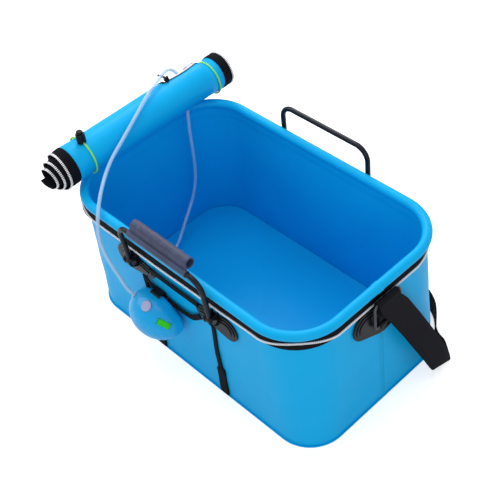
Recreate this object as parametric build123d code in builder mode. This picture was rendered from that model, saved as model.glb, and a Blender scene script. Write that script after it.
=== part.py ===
"""Soft-sided bait bucket with a rolled-back zip lid, two bails, a shoulder strap and a hang-on air pump.

X runs along the tub's long side, the pump hangs on the long side at -Y, and Z is up.
The origin is the centre of the tub's underside. All sizes are in millimetres.
"""

import math
import os

from build123d import *

os.makedirs("parts", exist_ok=True)

# ---------------------------------------------------------------- driving sizes
# Tub: one welded sheet from the base outline up to the rim tube
rim_length = 500.0  # centre line of the rim tube, along X
rim_width = 306.0  # the same, along Y
rim_corner = 75.0
rim_height = 238.7  # centre of the rim tube above the floor
base_longer = 9.0  # how much longer the base is than the rim
base_narrower = 3.0
base_corner = 58.0
sheet = 1.2  # foamed sheet of the tub and the lid
weld_flange = 2.5  # edge of the floor left proud of the wall
rim_tube = 15.0  # outside of the hem sleeve
core_tube = 12.0  # stiffening tube inside the hem
core_wall = 1.5
hem_tail = 17.0  # welded tail of the hem, inside the wall
hem_slit = 0.3  # where the folded sheet comes back to the wall
seam_width = 10.0
seam_thick = 0.6
seam_side = 4.0  # where the wall's upright seam lies on the +X side
gap = 0.3  # clearance between pieces that move past each other
fit = 0.05  # radial clearance of a pin in its hole

# Zip of the tub
tape_wide = 15.0
tape_thick = 0.9
teeth_high = 3.2
teeth_thick = 2.2
hem_drop = 2.0  # from the tape's lower edge to where the wall turns
tape_drop = 2.2  # from the rim tube's underside to the tape's top edge

# Rolled lid
roll_inset = 6.5  # the roll's axis, inside the end line of the rim
roll_lift = 39.3  # the roll's axis above the rim's centre line
roll_radius = 31.0  # outside of the outermost wrap
hose_room = 5.0  # how much the second half turn is tighter than the first
wrap_step = 3.0  # how much each later half turn is tighter
half_turns = 6
roll_front_short = 13.0  # the outermost wrap's front edge, inside the rim's front line
roll_rear_past = 8.0  # its rear edge, past the rim's rear line
wrap_lead = 1.5  # sideways shift of the edge for each millimetre of radius
lid_tape = 15.0
lid_teeth = 3.0
flap_flare = 26.0  # how much wider each side of the lid is at the roll than at its weld
flap_under = 16.0  # how far the lid hangs straight below the roll's axis
flap_knee = 40.0  # drop and reach of its bend towards the wall
flap_knee_in = 13.8
flap_upright = 52.0  # drop at which it stands upright on the wall
flap_bends = [12, 20, 6]
flap_weld = 2.5  # the lid's foot above the place where the wall turns upright

# Hatch in the lid for the air hose
hatch_start = 105.0  # angle round the roll, from +X up
hatch_sweep = 60.0
hatch_inset = 28.0  # rear end of the hatch, from the sheet's rear edge
hatch_long = 65.0
mesh_long = 14.0
mesh_thick = 0.6
mesh_sunk = 0.3  # the mesh below the roll's surface
hatch_border = 4.5
hatch_tape_thick = 0.9
hatch_teeth_thick = 1.2
slider_long = 9.0
slider_wide = 7.0
slider_thick = 2.4
pull_long = 20.0
pull_wide = 4.0
pull_thick = 1.0
pull_pin = 0.8
ear_eye = 2.15  # radius of the slider's ear round the pull's pin
ear_foot = 4.4

# Elastic ties round the roll, and the cord lock on the front one
tie_cord = 3.0
tie_front_inset = 30.0
tie_rear_inset = 18.0
lock_x = 6.0  # from the roll's axis
lock_round = 14.4
lock_high = 15.0
lock_floor = 5.0
plunger_round = 10.0
plunger_rise = 5.0
plunger_hold = 4.0
spring_wire = 0.8
spring_round = 7.6
spring_turns = 3

# Brackets on the long sides
bracket_x = 90.0
bracket_drop = 29.0  # the bracket's middle below the place where the wall turns upright
outer_lobe = 21.0
inner_lobe = 11.0
outer_reach = 20.0
inner_reach = 33.0
ridge_inset = 5.0
ridge_step = 1.2
plate_thick = 2.4
pivot_x = 88.0
pivot_rise = 13.0  # the pivot above the bracket's middle
pivot_stand = 8.7  # the pivot line out from the plate's face
ear_thick = 4.0
ear_radius = 7.0
ear_root = 22.0  # height of the ear where it grows from the plate
ear_root_drop = 3.0
ear_gap = 0.4
pin_round = 5.0
pin_head = 8.4
pin_head_thick = 1.2

# Bails
bail_bar = 8.2
bail_corner = 22.0
eye_round = 12.0
eye_width = 8.0
front_bail_height = 77.0
rear_bail_height = 86.0
front_lean = 4.0  # outwards from upright, in degrees
rear_lean = 0.5
grip_half = 62.0
grip_roll = 17.0
grip_bore = 11.0
grip_lining = 1.6
grip_in = 10.4  # from the bar to the middle of the rolled leather, inwards
grip_up = 11.2

# Webbing
load_web = 8.5
load_web_thick = 2.6
load_x = 76.5
load_bend = 110.0
load_bend_x = 72.5
load_tab = 17.5
load_tab_thick = 3.8
load_tab_top = 64.0
load_tab_x = 74.0
load_lean = 1.0  # half the tab's sideways slope
load_tuck = 3.5  # how far the strap runs up under the bracket
load_clear = 2.5  # foot of the tab above the base
hanger_high = 10.0
hanger_thick = 2.2
hanger_sag = 35.4  # its lowest point below the brackets' middle
hanger_rise = 9.5  # its straight upper run above the brackets' middle
shoulder_web = 45.0
shoulder_thick = 2.4

# End brackets with the strap rings
ring_y = 6.0
ring_wire = 5.0
ring_wide = 52.0  # centre line
ring_high = 44.0
ring_corner = 6.0
ring_drop = 5.0  # the ring's foot bar below the middle of the long-side brackets
ring_stand = 7.1  # the foot bar out from the plate's face
lug_width = 9.0
lug_spread = 24.0
lug_wall = 2.0
lug_root = 15.0
end_lobe = 30.0
end_lobe_y = 8.0
end_small_lobe = 24.0
end_spread = 38.0
end_lift = 11.0
strap_over = 6.8  # the strap's middle out from the foot bar
strap_seam = 1.6  # how much closer its sewn part lies
strap_tail = 30.0  # end of the sewn tail below the ring's top bar
strap_turn = 18.0
strap_join = 12.0  # end of the sewn piece below the foot bar
strap_start = 1.0  # start of the hanging strap below the foot bar

# Pump
pump_x = -38.0
pump_drop = 63.0  # the pump's middle below the brackets' middle
pump_clear = 0.45  # the pump's back from the hanger strap
pump_half_long = 49.0
pump_half_high = 37.0
pump_dome = 36.5
pump_back = 13.0
pump_edge = 6.0
pump_shell = 2.0
boss_round = 7.0
rib_thick = 1.6
sleeve_wall = 1.4
sleeve_deep = 5.0
cheek_long = 8.0
cheek_thick = 1.6
cheek_deep = 3.5
screw_round = 3.0
screw_head = 6.0
screw_head_thick = 2.0
screw_short = 3.0  # how far the screw stops short of its boss's end
button_round = 16.6
button_proud = 1.5
button_deep = 7.0
button_dx = 3.6
button_dz = 32.9
switch_long = 20.0
switch_wide = 9.0
switch_proud = 1.0
switch_deep = 5.0
switch_pivot = 2.5  # depth of the rocker's axis
switch_dx = 38.0
switch_dz = 17.5
trunnion = 2.0
nozzle_dx = -35.0
nozzle_dz = 24.0
nozzle_flange = 9.0
nozzle_stem = 4.4
nozzle_out = 5.5
nozzle_in = 16.0
battery_round = 14.0
battery_long = 50.0
battery_out = 3.0  # the cell's middle, out from the parting plane
battery_drop = 14.5
motor_out = 5.0
motor_rise = 8.0
motor_nose = 4.0
head_reach = 23.0  # start of the pump head, from the pump's middle
motor_round = 20.0
motor_long = 27.0
head_round = 22.0
head_long = 16.0
board_long = 46.0
board_high = 20.0
board_thick = 1.6
clip_thick = 1.6
clip_wide = 20.0
clip_drop = 20.0
clip_clear = 1.2  # the hook's underside above the hanger strap
clip_root = 4.0
clip_bend = 1.5
clip_sunk = 3.0

# Air hose and air stone
hose = 6.0
stone_round = 18.0
stone_long = 30.0

# ---------------------------------------------------------------- places worked out from them
base_length = rim_length + base_longer
base_width = rim_width - base_narrower
tube_radius = rim_tube / 2
wall_out = rim_width / 2 + sheet / 2  # outer face of the wall at the hem, long side
wall_end = rim_length / 2 + sheet / 2  # the same, short side
hem_top = rim_height - tube_radius
tape_top = hem_top - tape_drop
tape_low = tape_top - tape_wide
hem_low = tape_low - hem_drop  # where the sloping wall turns upright


def end_face(height):
    """X of the wall's outer face on the short side at a height."""
    share = (height - sheet) / (hem_low - sheet)
    return base_length / 2 + (wall_end - base_length / 2) * share


def side_face(height):
    """Distance of the wall's outer face from the middle on the long side at a height."""
    share = (height - sheet) / (hem_low - sheet)
    return base_width / 2 + (wall_out - base_width / 2) * share


# Plane on the front wall: X along the wall, Y up it, Z outwards
front_face = Plane(
    origin=(0, -base_width / 2, sheet),
    x_dir=(1, 0, 0),
    z_dir=(0, sheet - hem_low, base_width / 2 - wall_out),
)
roll_x = roll_inset - rim_length / 2
roll_z = rim_height + roll_lift
roll_front = roll_front_short - rim_width / 2
roll_rear = rim_width / 2 + roll_rear_past
flap_foot = rim_width / 2 - rim_corner  # the straight part of the rim
flap_head = flap_foot + flap_flare
tie_front = roll_front + tie_front_inset
tie_rear = roll_rear - tie_rear_inset
hatch_rear = roll_rear - hatch_inset
hatch_front = hatch_rear - hatch_long
mesh_front = hatch_rear - mesh_long
roll_plane = Plane(origin=(roll_x, 0, roll_z), x_dir=(1, 0, 0), z_dir=(0, -1, 0))
roll_side = Plane(origin=(roll_x, 0, roll_z), x_dir=(0, 1, 0), z_dir=(1, 0, 0))
roll_axis = Axis((roll_x, 0, roll_z), (0, 1, 0))
bracket_z = hem_low - bracket_drop
pivot_z = bracket_z + pivot_rise
plate_back = max(wall_out, side_face(bracket_z - outer_lobe)) + gap
plate_front = plate_back + plate_thick
pivot_out = plate_front + pivot_stand
ring_foot = bracket_z - ring_drop
end_back = max(end_face(ring_foot - end_lobe), wall_end) + seam_thick + 2 * fit
end_front = end_back + plate_thick
ring_out = end_front + ring_stand
hanger_back = plate_front + fit
pump_z = bracket_z - pump_drop
pump_rear = max(hanger_back + hanger_thick, side_face(pump_z - pump_half_high)) + pump_clear
pump_split = pump_rear + pump_back  # distance of the shells' parting plane from the tub's middle


def save(part, name):
    """Label one finished piece and write it."""
    part.label = name
    export_step(part, f"parts/{name}.step")


# ---------------------------------------------------------------- tub
with BuildPart() as tub_floor:
    with BuildSketch():
        RectangleRounded(
            base_length + 2 * weld_flange, base_width + 2 * weld_flange, base_corner + weld_flange
        )
    extrude(amount=sheet)
save(tub_floor.part, "tub_floor")

with BuildPart() as tub_wall:
    for inset, mode in ((0.0, Mode.ADD), (sheet, Mode.SUBTRACT)):
        with BuildSketch(Plane.XY.offset(sheet)):
            RectangleRounded(base_length - 2 * inset, base_width - 2 * inset, base_corner - inset)
        with BuildSketch(Plane.XY.offset(hem_low)):
            RectangleRounded(
                2 * (wall_end - inset), 2 * (wall_out - inset), rim_corner + sheet / 2 - inset
            )
        loft(ruled=True, mode=mode)
    with BuildSketch(Plane.XY.offset(hem_low)):
        RectangleRounded(2 * wall_end, 2 * wall_out, rim_corner + sheet / 2)
        RectangleRounded(
            2 * (wall_end - sheet), 2 * (wall_out - sheet), rim_corner - sheet / 2, mode=Mode.SUBTRACT
        )
    extrude(amount=hem_top - hem_low)
save(tub_wall.part, "tub_wall")

# Cover strip over the upright seam, from the floor to the zip
with BuildPart() as seam_tape:
    with BuildSketch(Plane.XZ.offset(-seam_side - seam_width / 2)):
        Polygon(
            (base_length / 2, sheet),
            (base_length / 2 + seam_thick, sheet),
            (wall_end + seam_thick, hem_low),
            (wall_end, hem_low),
            align=None,
        )
    extrude(amount=seam_width)
save(seam_tape.part, "seam_tape")


def rim_line(split):
    """Centre line of the rim, broken over the upright seam."""
    long, wide = rim_length / 2, rim_width / 2
    corners = [(long, wide), (-long, wide), (-long, -wide), (long, -wide)]
    ends = [(long, seam_side + split / 2), (long, seam_side - split / 2)]
    FilletPolyline(
        *[(x, y, rim_height) for x, y in (ends[0], *corners, ends[1])], radius=rim_corner
    )


rim_section = Plane(
    origin=(rim_length / 2, seam_side + gap / 2, rim_height), x_dir=(1, 0, 0), z_dir=(0, -1, 0)
)

# Hem: the sheet folded round the tube and welded back inside the wall
with BuildPart() as rim_sleeve:
    with BuildLine():
        rim_line(gap)
    with BuildSketch(rim_section):
        Circle(tube_radius)
        Circle(tube_radius - sheet, mode=Mode.SUBTRACT)
        with Locations((-sheet / 2, -tube_radius + sheet / 2)):
            Rectangle(sheet, hem_tail, align=(Align.MAX, Align.MAX))
        with Locations((-sheet / 2, -tube_radius)):
            Rectangle(hem_slit, 2 * sheet, align=(Align.MIN, Align.CENTER), mode=Mode.SUBTRACT)
    sweep()
save(rim_sleeve.part, "rim_sleeve")

with BuildPart() as rim_core:
    with BuildLine():
        rim_line(gap)
    with BuildSketch(rim_section):
        Circle(core_tube / 2)
        Circle(core_tube / 2 - core_wall, mode=Mode.SUBTRACT)
    sweep()
save(rim_core.part, "rim_core")


def hem_band(low, high, inner, outer):
    """Band round the hem, left open where the lid is welded on."""
    with BuildPart() as band:
        with BuildSketch(Plane.XY.offset(low)):
            for grow, mode in ((outer, Mode.ADD), (inner, Mode.SUBTRACT)):
                RectangleRounded(
                    2 * (wall_end + grow), 2 * (wall_out + grow), rim_corner + sheet / 2 + grow, mode=mode
                )
            with Locations((-wall_end, 0)):
                Rectangle(rim_corner, 2 * (flap_foot + gap), mode=Mode.SUBTRACT)
        extrude(amount=high - low)
    return band.part


save(hem_band(tape_low, tape_top, 0, tape_thick), "tub_zip_tape")
save(hem_band(tape_low, tape_low + teeth_high, tape_thick, tape_thick + teeth_thick), "tub_zip_teeth")


# ---------------------------------------------------------------- rolled lid
def half_turn(centre, radius, start):
    """Half a turn of sheet, over the top from start 0 or underneath from start 180."""
    with BuildLine() as turn:
        CenterArc((centre, 0), radius, start, 180)
        CenterArc((centre, 0), radius - sheet, start, 180)
        Line((centre - radius, 0), (centre - radius + sheet, 0))
        Line((centre + radius - sheet, 0), (centre + radius, 0))
    return turn.edges()


def roll_slice(front, rear):
    """Rolled sheet between two coned edges, each placed where it meets the outermost wrap."""
    reach = roll_radius + 9
    with BuildPart() as piece:
        with BuildSketch(roll_plane):
            centre, radius = 0.0, roll_radius
            for turn in range(half_turns):
                make_face(half_turn(centre, radius, 180 * (turn % 2)))
                tighter = wrap_step if turn else hose_room
                radius -= tighter
                centre += -tighter if turn % 2 else tighter
        extrude(amount=rim_width, both=True)
        with BuildSketch(roll_side):
            Polygon(
                (front - wrap_lead * roll_radius, 0),
                (front + wrap_lead * (reach - roll_radius), reach),
                (rear + wrap_lead * (reach - roll_radius), reach),
                (rear - wrap_lead * roll_radius, 0),
                align=None,
            )
        revolve(axis=roll_axis, mode=Mode.INTERSECT)
    return piece.part


def roll_strip(inner, outer, start, sweep_angle, front, rear):
    """Curved strip on the roll between two radii, two angles and two places along it."""
    plane = Plane(origin=(roll_x, rear, roll_z), x_dir=(1, 0, 0), z_dir=(0, -1, 0))
    with BuildPart() as piece:
        with BuildSketch(plane):
            with BuildLine():
                top = CenterArc((0, 0), outer, start, sweep_angle)
                low = CenterArc((0, 0), inner, start, sweep_angle)
                Line(top @ 0, low @ 0)
                Line(top @ 1, low @ 1)
            make_face()
        extrude(amount=rear - front)
    return piece.part


# The lid comes up off the wall, passes outside the rim tube and runs into the outermost wrap
weld_x = -wall_end - sheet / 2 - roll_x
wrap_x = sheet / 2 - roll_radius
flap_narrow = (flap_knee + flap_upright) / 2
with BuildPart() as flap:
    with BuildSketch(roll_plane):
        with BuildLine():
            FilletPolyline(
                (wrap_x, sheet / 2),
                (wrap_x, -flap_under),
                (wrap_x + flap_knee_in, -flap_knee),
                (weld_x, -flap_upright),
                (weld_x, hem_low - roll_z + flap_weld),
                radius=flap_bends,
            )
        trace(line_width=sheet)
    extrude(amount=2 * flap_head, both=True)
    with BuildSketch(roll_side.offset(-2 * roll_radius)):
        Polygon(
            (-flap_head, sheet),
            (flap_head, sheet),
            (flap_foot, -flap_narrow),
            (flap_foot, -2 * flap_narrow),
            (-flap_foot, -2 * flap_narrow),
            (-flap_foot, -flap_narrow),
            align=None,
        )
    extrude(amount=4 * roll_radius, mode=Mode.INTERSECT)

blue_part = roll_slice(roll_front, roll_rear)
hatch_hole = roll_strip(
    roll_radius - 2 * sheet, roll_radius + 2 * sheet, hatch_start, hatch_sweep, hatch_front, hatch_rear
)
with BuildPart() as lid_sheet:
    add(blue_part)
    add(flap.part)
    add(hatch_hole, mode=Mode.SUBTRACT)
save(lid_sheet.part, "lid_sheet")

save(roll_slice(roll_front - lid_tape, roll_front), "lid_tape_front")
save(roll_slice(roll_front - lid_tape - lid_teeth, roll_front - lid_tape), "lid_teeth_front")
save(roll_slice(roll_rear, roll_rear + lid_tape), "lid_tape_rear")
save(roll_slice(roll_rear + lid_tape, roll_rear + lid_tape + lid_teeth), "lid_teeth_rear")

# Hatch: tape round the opening, teeth along its upper edge, mesh over its rear end
border_angle = math.degrees(hatch_border / roll_radius)
tape_face = roll_radius + hatch_tape_thick
hatch_frame = roll_strip(
    roll_radius,
    tape_face,
    hatch_start - border_angle,
    hatch_sweep + 2 * border_angle,
    hatch_front - hatch_border,
    hatch_rear + hatch_border,
)
with BuildPart() as hatch_tape:
    add(hatch_frame)
    add(hatch_hole, mode=Mode.SUBTRACT)
save(hatch_tape.part, "hatch_tape")

mesh_face = roll_radius - mesh_sunk
teeth_face = tape_face + hatch_teeth_thick
teeth_angle = border_angle * 0.45
save(
    roll_strip(tape_face, teeth_face, hatch_start - teeth_angle, teeth_angle, hatch_front, hatch_rear),
    "hatch_teeth",
)
save(
    roll_strip(mesh_face - mesh_thick, mesh_face, hatch_start, hatch_sweep, mesh_front, hatch_rear),
    "hatch_mesh",
)

# Slider on the corner of the hatch zip, with its pull lying along the roll
slider_angle = math.radians(hatch_start - teeth_angle)
slider_out = Vector(math.cos(slider_angle), 0, math.sin(slider_angle))
slider_seat = Vector(roll_x, hatch_front + slider_wide / 2, roll_z) + slider_out * (teeth_face + 0.1)
slider_plane = Plane(
    origin=slider_seat, x_dir=(-math.sin(slider_angle), 0, math.cos(slider_angle)), z_dir=slider_out
)
pull_height = slider_thick + ear_eye + 2 * fit  # pin of the pull above the slider's underside
with BuildPart() as hatch_slider:
    with BuildSketch(slider_plane):
        RectangleRounded(slider_long, slider_wide, 2)
    extrude(amount=slider_thick)
    ear_plane = Plane(origin=slider_seat, x_dir=slider_plane.x_dir, z_dir=(0, 1, 0))
    with BuildSketch(ear_plane.offset(slider_wide / 2), ear_plane.offset(-pull_wide / 2 - gap)):
        with Locations((0, pull_height)):
            Circle(ear_eye)
        with Locations((0, slider_thick - 0.5)):
            Rectangle(ear_foot, 1)
        make_hull()
        with Locations((0, pull_height)):
            Circle(pull_pin + fit, mode=Mode.SUBTRACT)
    extrude(amount=pull_wide / 2 + gap - slider_wide / 2)
save(hatch_slider.part, "hatch_slider")

with BuildPart() as hatch_pull:
    with BuildSketch(slider_plane.offset(pull_height - pull_thick / 2)):
        with Locations((pull_long / 2, 0)):
            SlotOverall(pull_long + pull_wide, pull_wide)
    extrude(amount=pull_thick)
    with BuildSketch(ear_plane.offset(slider_wide / 2)):
        with Locations((0, pull_height)):
            Circle(pull_pin)
    extrude(amount=-slider_wide)
save(hatch_pull.part, "hatch_pull")

# Elastic ties: over the outermost wrap, then close round the tighter half turn below
tie_off = tie_cord / 2 + gap + fit
for name, place in (("tie_cord_front", tie_front), ("tie_cord_rear", tie_rear)):
    over = roll_radius + tie_off
    under = roll_radius - hose_room + tie_off
    lean = math.acos(under / (over + hose_room))
    touch = (hose_room - under * math.cos(lean), -under * math.sin(lean))
    tie_plane = Plane(origin=(roll_x, place, roll_z), x_dir=(1, 0, 0), z_dir=(0, -1, 0))
    with BuildPart() as tie:
        with BuildLine(tie_plane) as tie_line:
            CenterArc((0, 0), over, 0, 180)
            Line((-over, 0), touch)
            CenterArc((hose_room, 0), under, 180 + math.degrees(lean), 180 - math.degrees(lean))
        tie_path = tie_line.wires()[0]
        with BuildSketch(Plane(origin=tie_path @ 0.3, z_dir=tie_path % 0.3)):
            Circle(tie_cord / 2)
        sweep(path=tie_path, transition=Transition.ROUND)
    save(tie.part, name)

# Cord lock: a body with a cord way under its floor, a sprung plunger above
lock_y = tie_front
lock_base = roll_z + roll_radius + gap
lock_at = (roll_x + lock_x, lock_y)
bore_floor = lock_base + lock_floor
lock_top = lock_base + lock_high
with BuildPart() as cord_lock_body:
    with BuildSketch(Plane.XY.offset(lock_base)):
        with Locations(lock_at):
            Circle(lock_round / 2)
    extrude(amount=lock_high)
    fillet(cord_lock_body.edges().group_by(Axis.Z)[-1], radius=1.2)
    with BuildSketch(Plane.XY.offset(bore_floor)):
        with Locations(lock_at):
            Circle(plunger_round / 2 + gap)
    extrude(amount=lock_high, mode=Mode.SUBTRACT)
    with BuildSketch(Plane(origin=(roll_x, lock_y, lock_base), x_dir=(0, 1, 0), z_dir=(1, 0, 0))):
        SlotOverall(2 * (tie_cord + 2 * gap), tie_cord + 2 * gap, rotation=90)
    extrude(amount=2 * lock_round, both=True, mode=Mode.SUBTRACT)
save(cord_lock_body.part, "cord_lock_body")

plunger_low = lock_top - plunger_hold
with BuildPart() as cord_lock_plunger:
    with BuildSketch(Plane.XY.offset(plunger_low)):
        with Locations(lock_at):
            Circle(plunger_round / 2)
    extrude(amount=plunger_hold + plunger_rise)
    fillet(cord_lock_plunger.edges().group_by(Axis.Z)[-1], radius=1.4)
save(cord_lock_plunger.part, "cord_lock_plunger")

spring_low = bore_floor + spring_wire / 2 + fit
spring_rise = plunger_low - bore_floor - spring_wire - 2 * fit
with BuildPart() as cord_lock_spring:
    with BuildLine(Plane(origin=(*lock_at, spring_low))) as coil:
        Helix(pitch=spring_rise / spring_turns, height=spring_rise, radius=spring_round / 2)
    with BuildSketch(Plane(origin=coil.line @ 0, z_dir=coil.line % 0)):
        Circle(spring_wire / 2)
    sweep(path=coil.line, is_frenet=True)
save(cord_lock_spring.part, "cord_lock_spring")


# ---------------------------------------------------------------- long-side brackets and bails
def stepped_plate(plane, lobes, thick):
    """Plate of two joined lobes with two ridges stepped in from its edge."""
    with BuildPart() as plate:
        for ridge in range(3):
            with BuildSketch(plane):
                for place, radius in lobes:
                    with Locations(place):
                        Circle(radius - ridge * ridge_inset)
                make_hull()
            extrude(amount=thick + ridge * ridge_step)
    return plate.part


bracket_plate = stepped_plate(
    Plane(origin=(bracket_x, -plate_back, bracket_z), x_dir=(1, 0, 0), z_dir=(0, -1, 0)),
    [((outer_reach, 0), outer_lobe), ((-inner_reach, 0), inner_lobe)],
    plate_thick,
)
ear_inner = eye_width / 2 + ear_gap
ear_outer = ear_inner + ear_thick
with BuildPart() as front_bracket_right:
    add(bracket_plate)
    for side in (-1, 1):
        with BuildSketch(Plane.YZ.offset(pivot_x + side * ear_inner)):
            with Locations((-pivot_out, pivot_z)):
                Circle(ear_radius)
            with Locations((-plate_front + plate_thick / 2, pivot_z - ear_root_drop)):
                Rectangle(plate_thick, ear_root)
            make_hull()
        extrude(amount=side * ear_thick)
    with BuildSketch(Plane.YZ.offset(pivot_x - ear_outer)):
        with Locations((-pivot_out, pivot_z)):
            Circle(pin_round / 2 + fit)
    extrude(amount=2 * ear_outer, mode=Mode.SUBTRACT)
save(front_bracket_right.part, "front_bracket_right")
save(mirror(front_bracket_right.part, about=Plane.YZ), "front_bracket_left")
save(mirror(front_bracket_right.part, about=Plane.XZ), "rear_bracket_right")
save(mirror(mirror(front_bracket_right.part, about=Plane.XZ), about=Plane.YZ), "rear_bracket_left")

with BuildPart() as bail_pins:
    for side_x in (-1, 1):
        for side_y in (-1, 1):
            pin_start = Plane.YZ.offset(side_x * pivot_x - ear_outer - pin_head_thick)
            with BuildSketch(pin_start):
                with Locations((side_y * pivot_out, pivot_z)):
                    Circle(pin_round / 2)
            extrude(amount=2 * (ear_outer + pin_head_thick))
            with BuildSketch(pin_start, pin_start.offset(2 * ear_outer + pin_head_thick)):
                with Locations((side_y * pivot_out, pivot_z)):
                    Circle(pin_head / 2)
            extrude(amount=pin_head_thick)
save(bail_pins.part, "bail_pins")


def bail(height, side, lean):
    """Round bar bent to a bail, with a flat eye at each foot; lean is outwards in degrees."""
    tilt = math.radians(lean)
    up = Vector(0, side * math.sin(tilt), math.cos(tilt))
    frame = Plane(
        origin=(0, side * pivot_out, pivot_z), x_dir=(1, 0, 0), z_dir=Vector(1, 0, 0).cross(up)
    )
    with BuildPart() as bar:
        with BuildLine(frame) as line:
            FilletPolyline(
                (-pivot_x, bail_bar / 2 + 0.5),
                (-pivot_x, height),
                (pivot_x, height),
                (pivot_x, bail_bar / 2 + 0.5),
                radius=bail_corner,
            )
        with BuildSketch(Plane(origin=line.line @ 0, z_dir=line.line % 0)):
            Circle(bail_bar / 2)
        sweep(path=line.line)
        for foot in (-pivot_x, pivot_x):
            with BuildSketch(Plane.YZ.offset(foot - eye_width / 2)):
                with Locations((side * pivot_out, pivot_z)):
                    Circle(eye_round / 2)
            extrude(amount=eye_width)
        with BuildSketch(Plane.YZ.offset(-2 * pivot_x)):
            with Locations((side * pivot_out, pivot_z)):
                Circle(pin_round / 2 + fit)
        extrude(amount=4 * pivot_x, mode=Mode.SUBTRACT)
    return bar.part


save(bail(front_bail_height, -1, front_lean), "front_bail")
save(bail(rear_bail_height, 1, rear_lean), "rear_bail")

# Leather pad: lining round the bar, and the long edge rolled up above and behind it
bar_y = -pivot_out - front_bail_height * math.sin(math.radians(front_lean))
bar_z = pivot_z + front_bail_height * math.cos(math.radians(front_lean))
bar_hole = bail_bar / 2 + gap / 2
with BuildPart() as grip_wrap:
    with BuildSketch(Plane.YZ.offset(-grip_half)):
        with Locations((bar_y, bar_z), (bar_y + grip_in * 0.5, bar_z + grip_up * 0.5)):
            Circle(bar_hole / 2 + grip_lining)
        make_hull()
        with Locations((bar_y, bar_z)):
            Circle(bar_hole + grip_lining)
        with Locations((bar_y + grip_in, bar_z + grip_up)):
            Circle(grip_roll / 2)
            Circle(grip_bore / 2, mode=Mode.SUBTRACT)
        with Locations((bar_y, bar_z)):
            Circle(bar_hole, mode=Mode.SUBTRACT)
    extrude(amount=2 * grip_half)
save(grip_wrap.part, "grip_wrap")


# ---------------------------------------------------------------- straps on the wall
plate_low = bracket_z - outer_lobe - sheet
with BuildPart() as load_strap:
    with BuildSketch(front_face):
        with BuildLine():
            Polyline(
                (load_x, plate_low + load_tuck), (load_bend_x, load_bend), (load_tab_x, load_tab_top)
            )
        trace(line_width=load_web)
    extrude(amount=load_web_thick)
    with BuildSketch(front_face):
        with BuildLine():
            Polyline((load_tab_x + load_lean, load_tab_top), (load_tab_x - load_lean, load_clear))
        trace(line_width=load_tab)
    extrude(amount=load_tab_thick)
for name, planes in (
    ("load_strap_front_right", ()),
    ("load_strap_front_left", (Plane.YZ,)),
    ("load_strap_rear_right", (Plane.XZ,)),
    ("load_strap_rear_left", (Plane.YZ, Plane.XZ)),
):
    strap = load_strap.part
    for plane in planes:
        strap = mirror(strap, about=plane)
    save(strap, name)

# Strap between the front brackets in two runs: a straight one above, and one slung below for the pump
hanger_shape = [(-0.778, 0.48), (-0.533, 0.876), (-0.289, 0.989), (0.033, 1), (0.333, 0.932), (0.6, 0.395)]
hanger_line = [(x * bracket_x, bracket_z - drop * hanger_sag) for x, drop in hanger_shape]
hanger_low = hanger_rise - hanger_high / 2
hanger_reach = bracket_x - inner_reach - math.sqrt((inner_lobe - ridge_inset) ** 2 - hanger_low**2) - gap
with BuildPart() as hanger_strap:
    with BuildSketch(Plane.XZ.offset(hanger_back)):
        with BuildLine():
            FilletPolyline(*hanger_line, radius=1.2 * hanger_high)
        trace(line_width=hanger_high)
        with Locations((0, bracket_z + hanger_rise)):
            Rectangle(2 * hanger_reach, hanger_high)
    extrude(amount=hanger_thick)
save(hanger_strap.part, "hanger_strap")


# ---------------------------------------------------------------- end brackets and strap rings
end_plate = stepped_plate(
    Plane(origin=(end_back, 0, 0), x_dir=(0, 1, 0), z_dir=(1, 0, 0)),
    [((end_lobe_y - end_spread, ring_foot + end_lift), end_small_lobe), ((end_lobe_y, ring_foot), end_lobe)],
    plate_thick,
)
lug_radius = ring_wire / 2 + lug_wall
with BuildPart() as end_bracket_right:
    add(end_plate)
    for side in (-1, 1):
        with BuildSketch(Plane.XZ.offset(-ring_y - side * lug_spread / 2 - lug_width / 2)):
            with Locations((ring_out, ring_foot)):
                Circle(lug_radius)
            with Locations((end_front, ring_foot)):
                Rectangle(plate_thick, lug_root)
            make_hull()
        extrude(amount=lug_width)
    with BuildSketch(Plane.XZ.offset(-ring_y - lug_spread)):
        with Locations((ring_out, ring_foot)):
            Circle(ring_wire / 2 + fit)
    extrude(amount=2 * lug_spread, mode=Mode.SUBTRACT)
save(end_bracket_right.part, "end_bracket_right")
save(mirror(end_bracket_right.part, about=Plane.YZ), "end_bracket_left")

ring_plane = Plane(origin=(ring_out, ring_y, ring_foot), x_dir=(0, 1, 0), z_dir=(1, 0, 0))
with BuildPart() as end_ring_right:
    with BuildLine(ring_plane) as ring_line:
        half = ring_wide / 2
        corners = [(-half, 0), (-half, ring_high), (half, ring_high), (half, 0)]
        FilletPolyline(*corners, radius=ring_corner, close=True)
    with BuildSketch(Plane(origin=ring_line.line @ 0, z_dir=ring_line.line % 0)):
        Circle(ring_wire / 2)
    sweep(path=ring_line.line)
save(end_ring_right.part, "end_ring_right")
save(mirror(end_ring_right.part, about=Plane.YZ), "end_ring_left")

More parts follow.
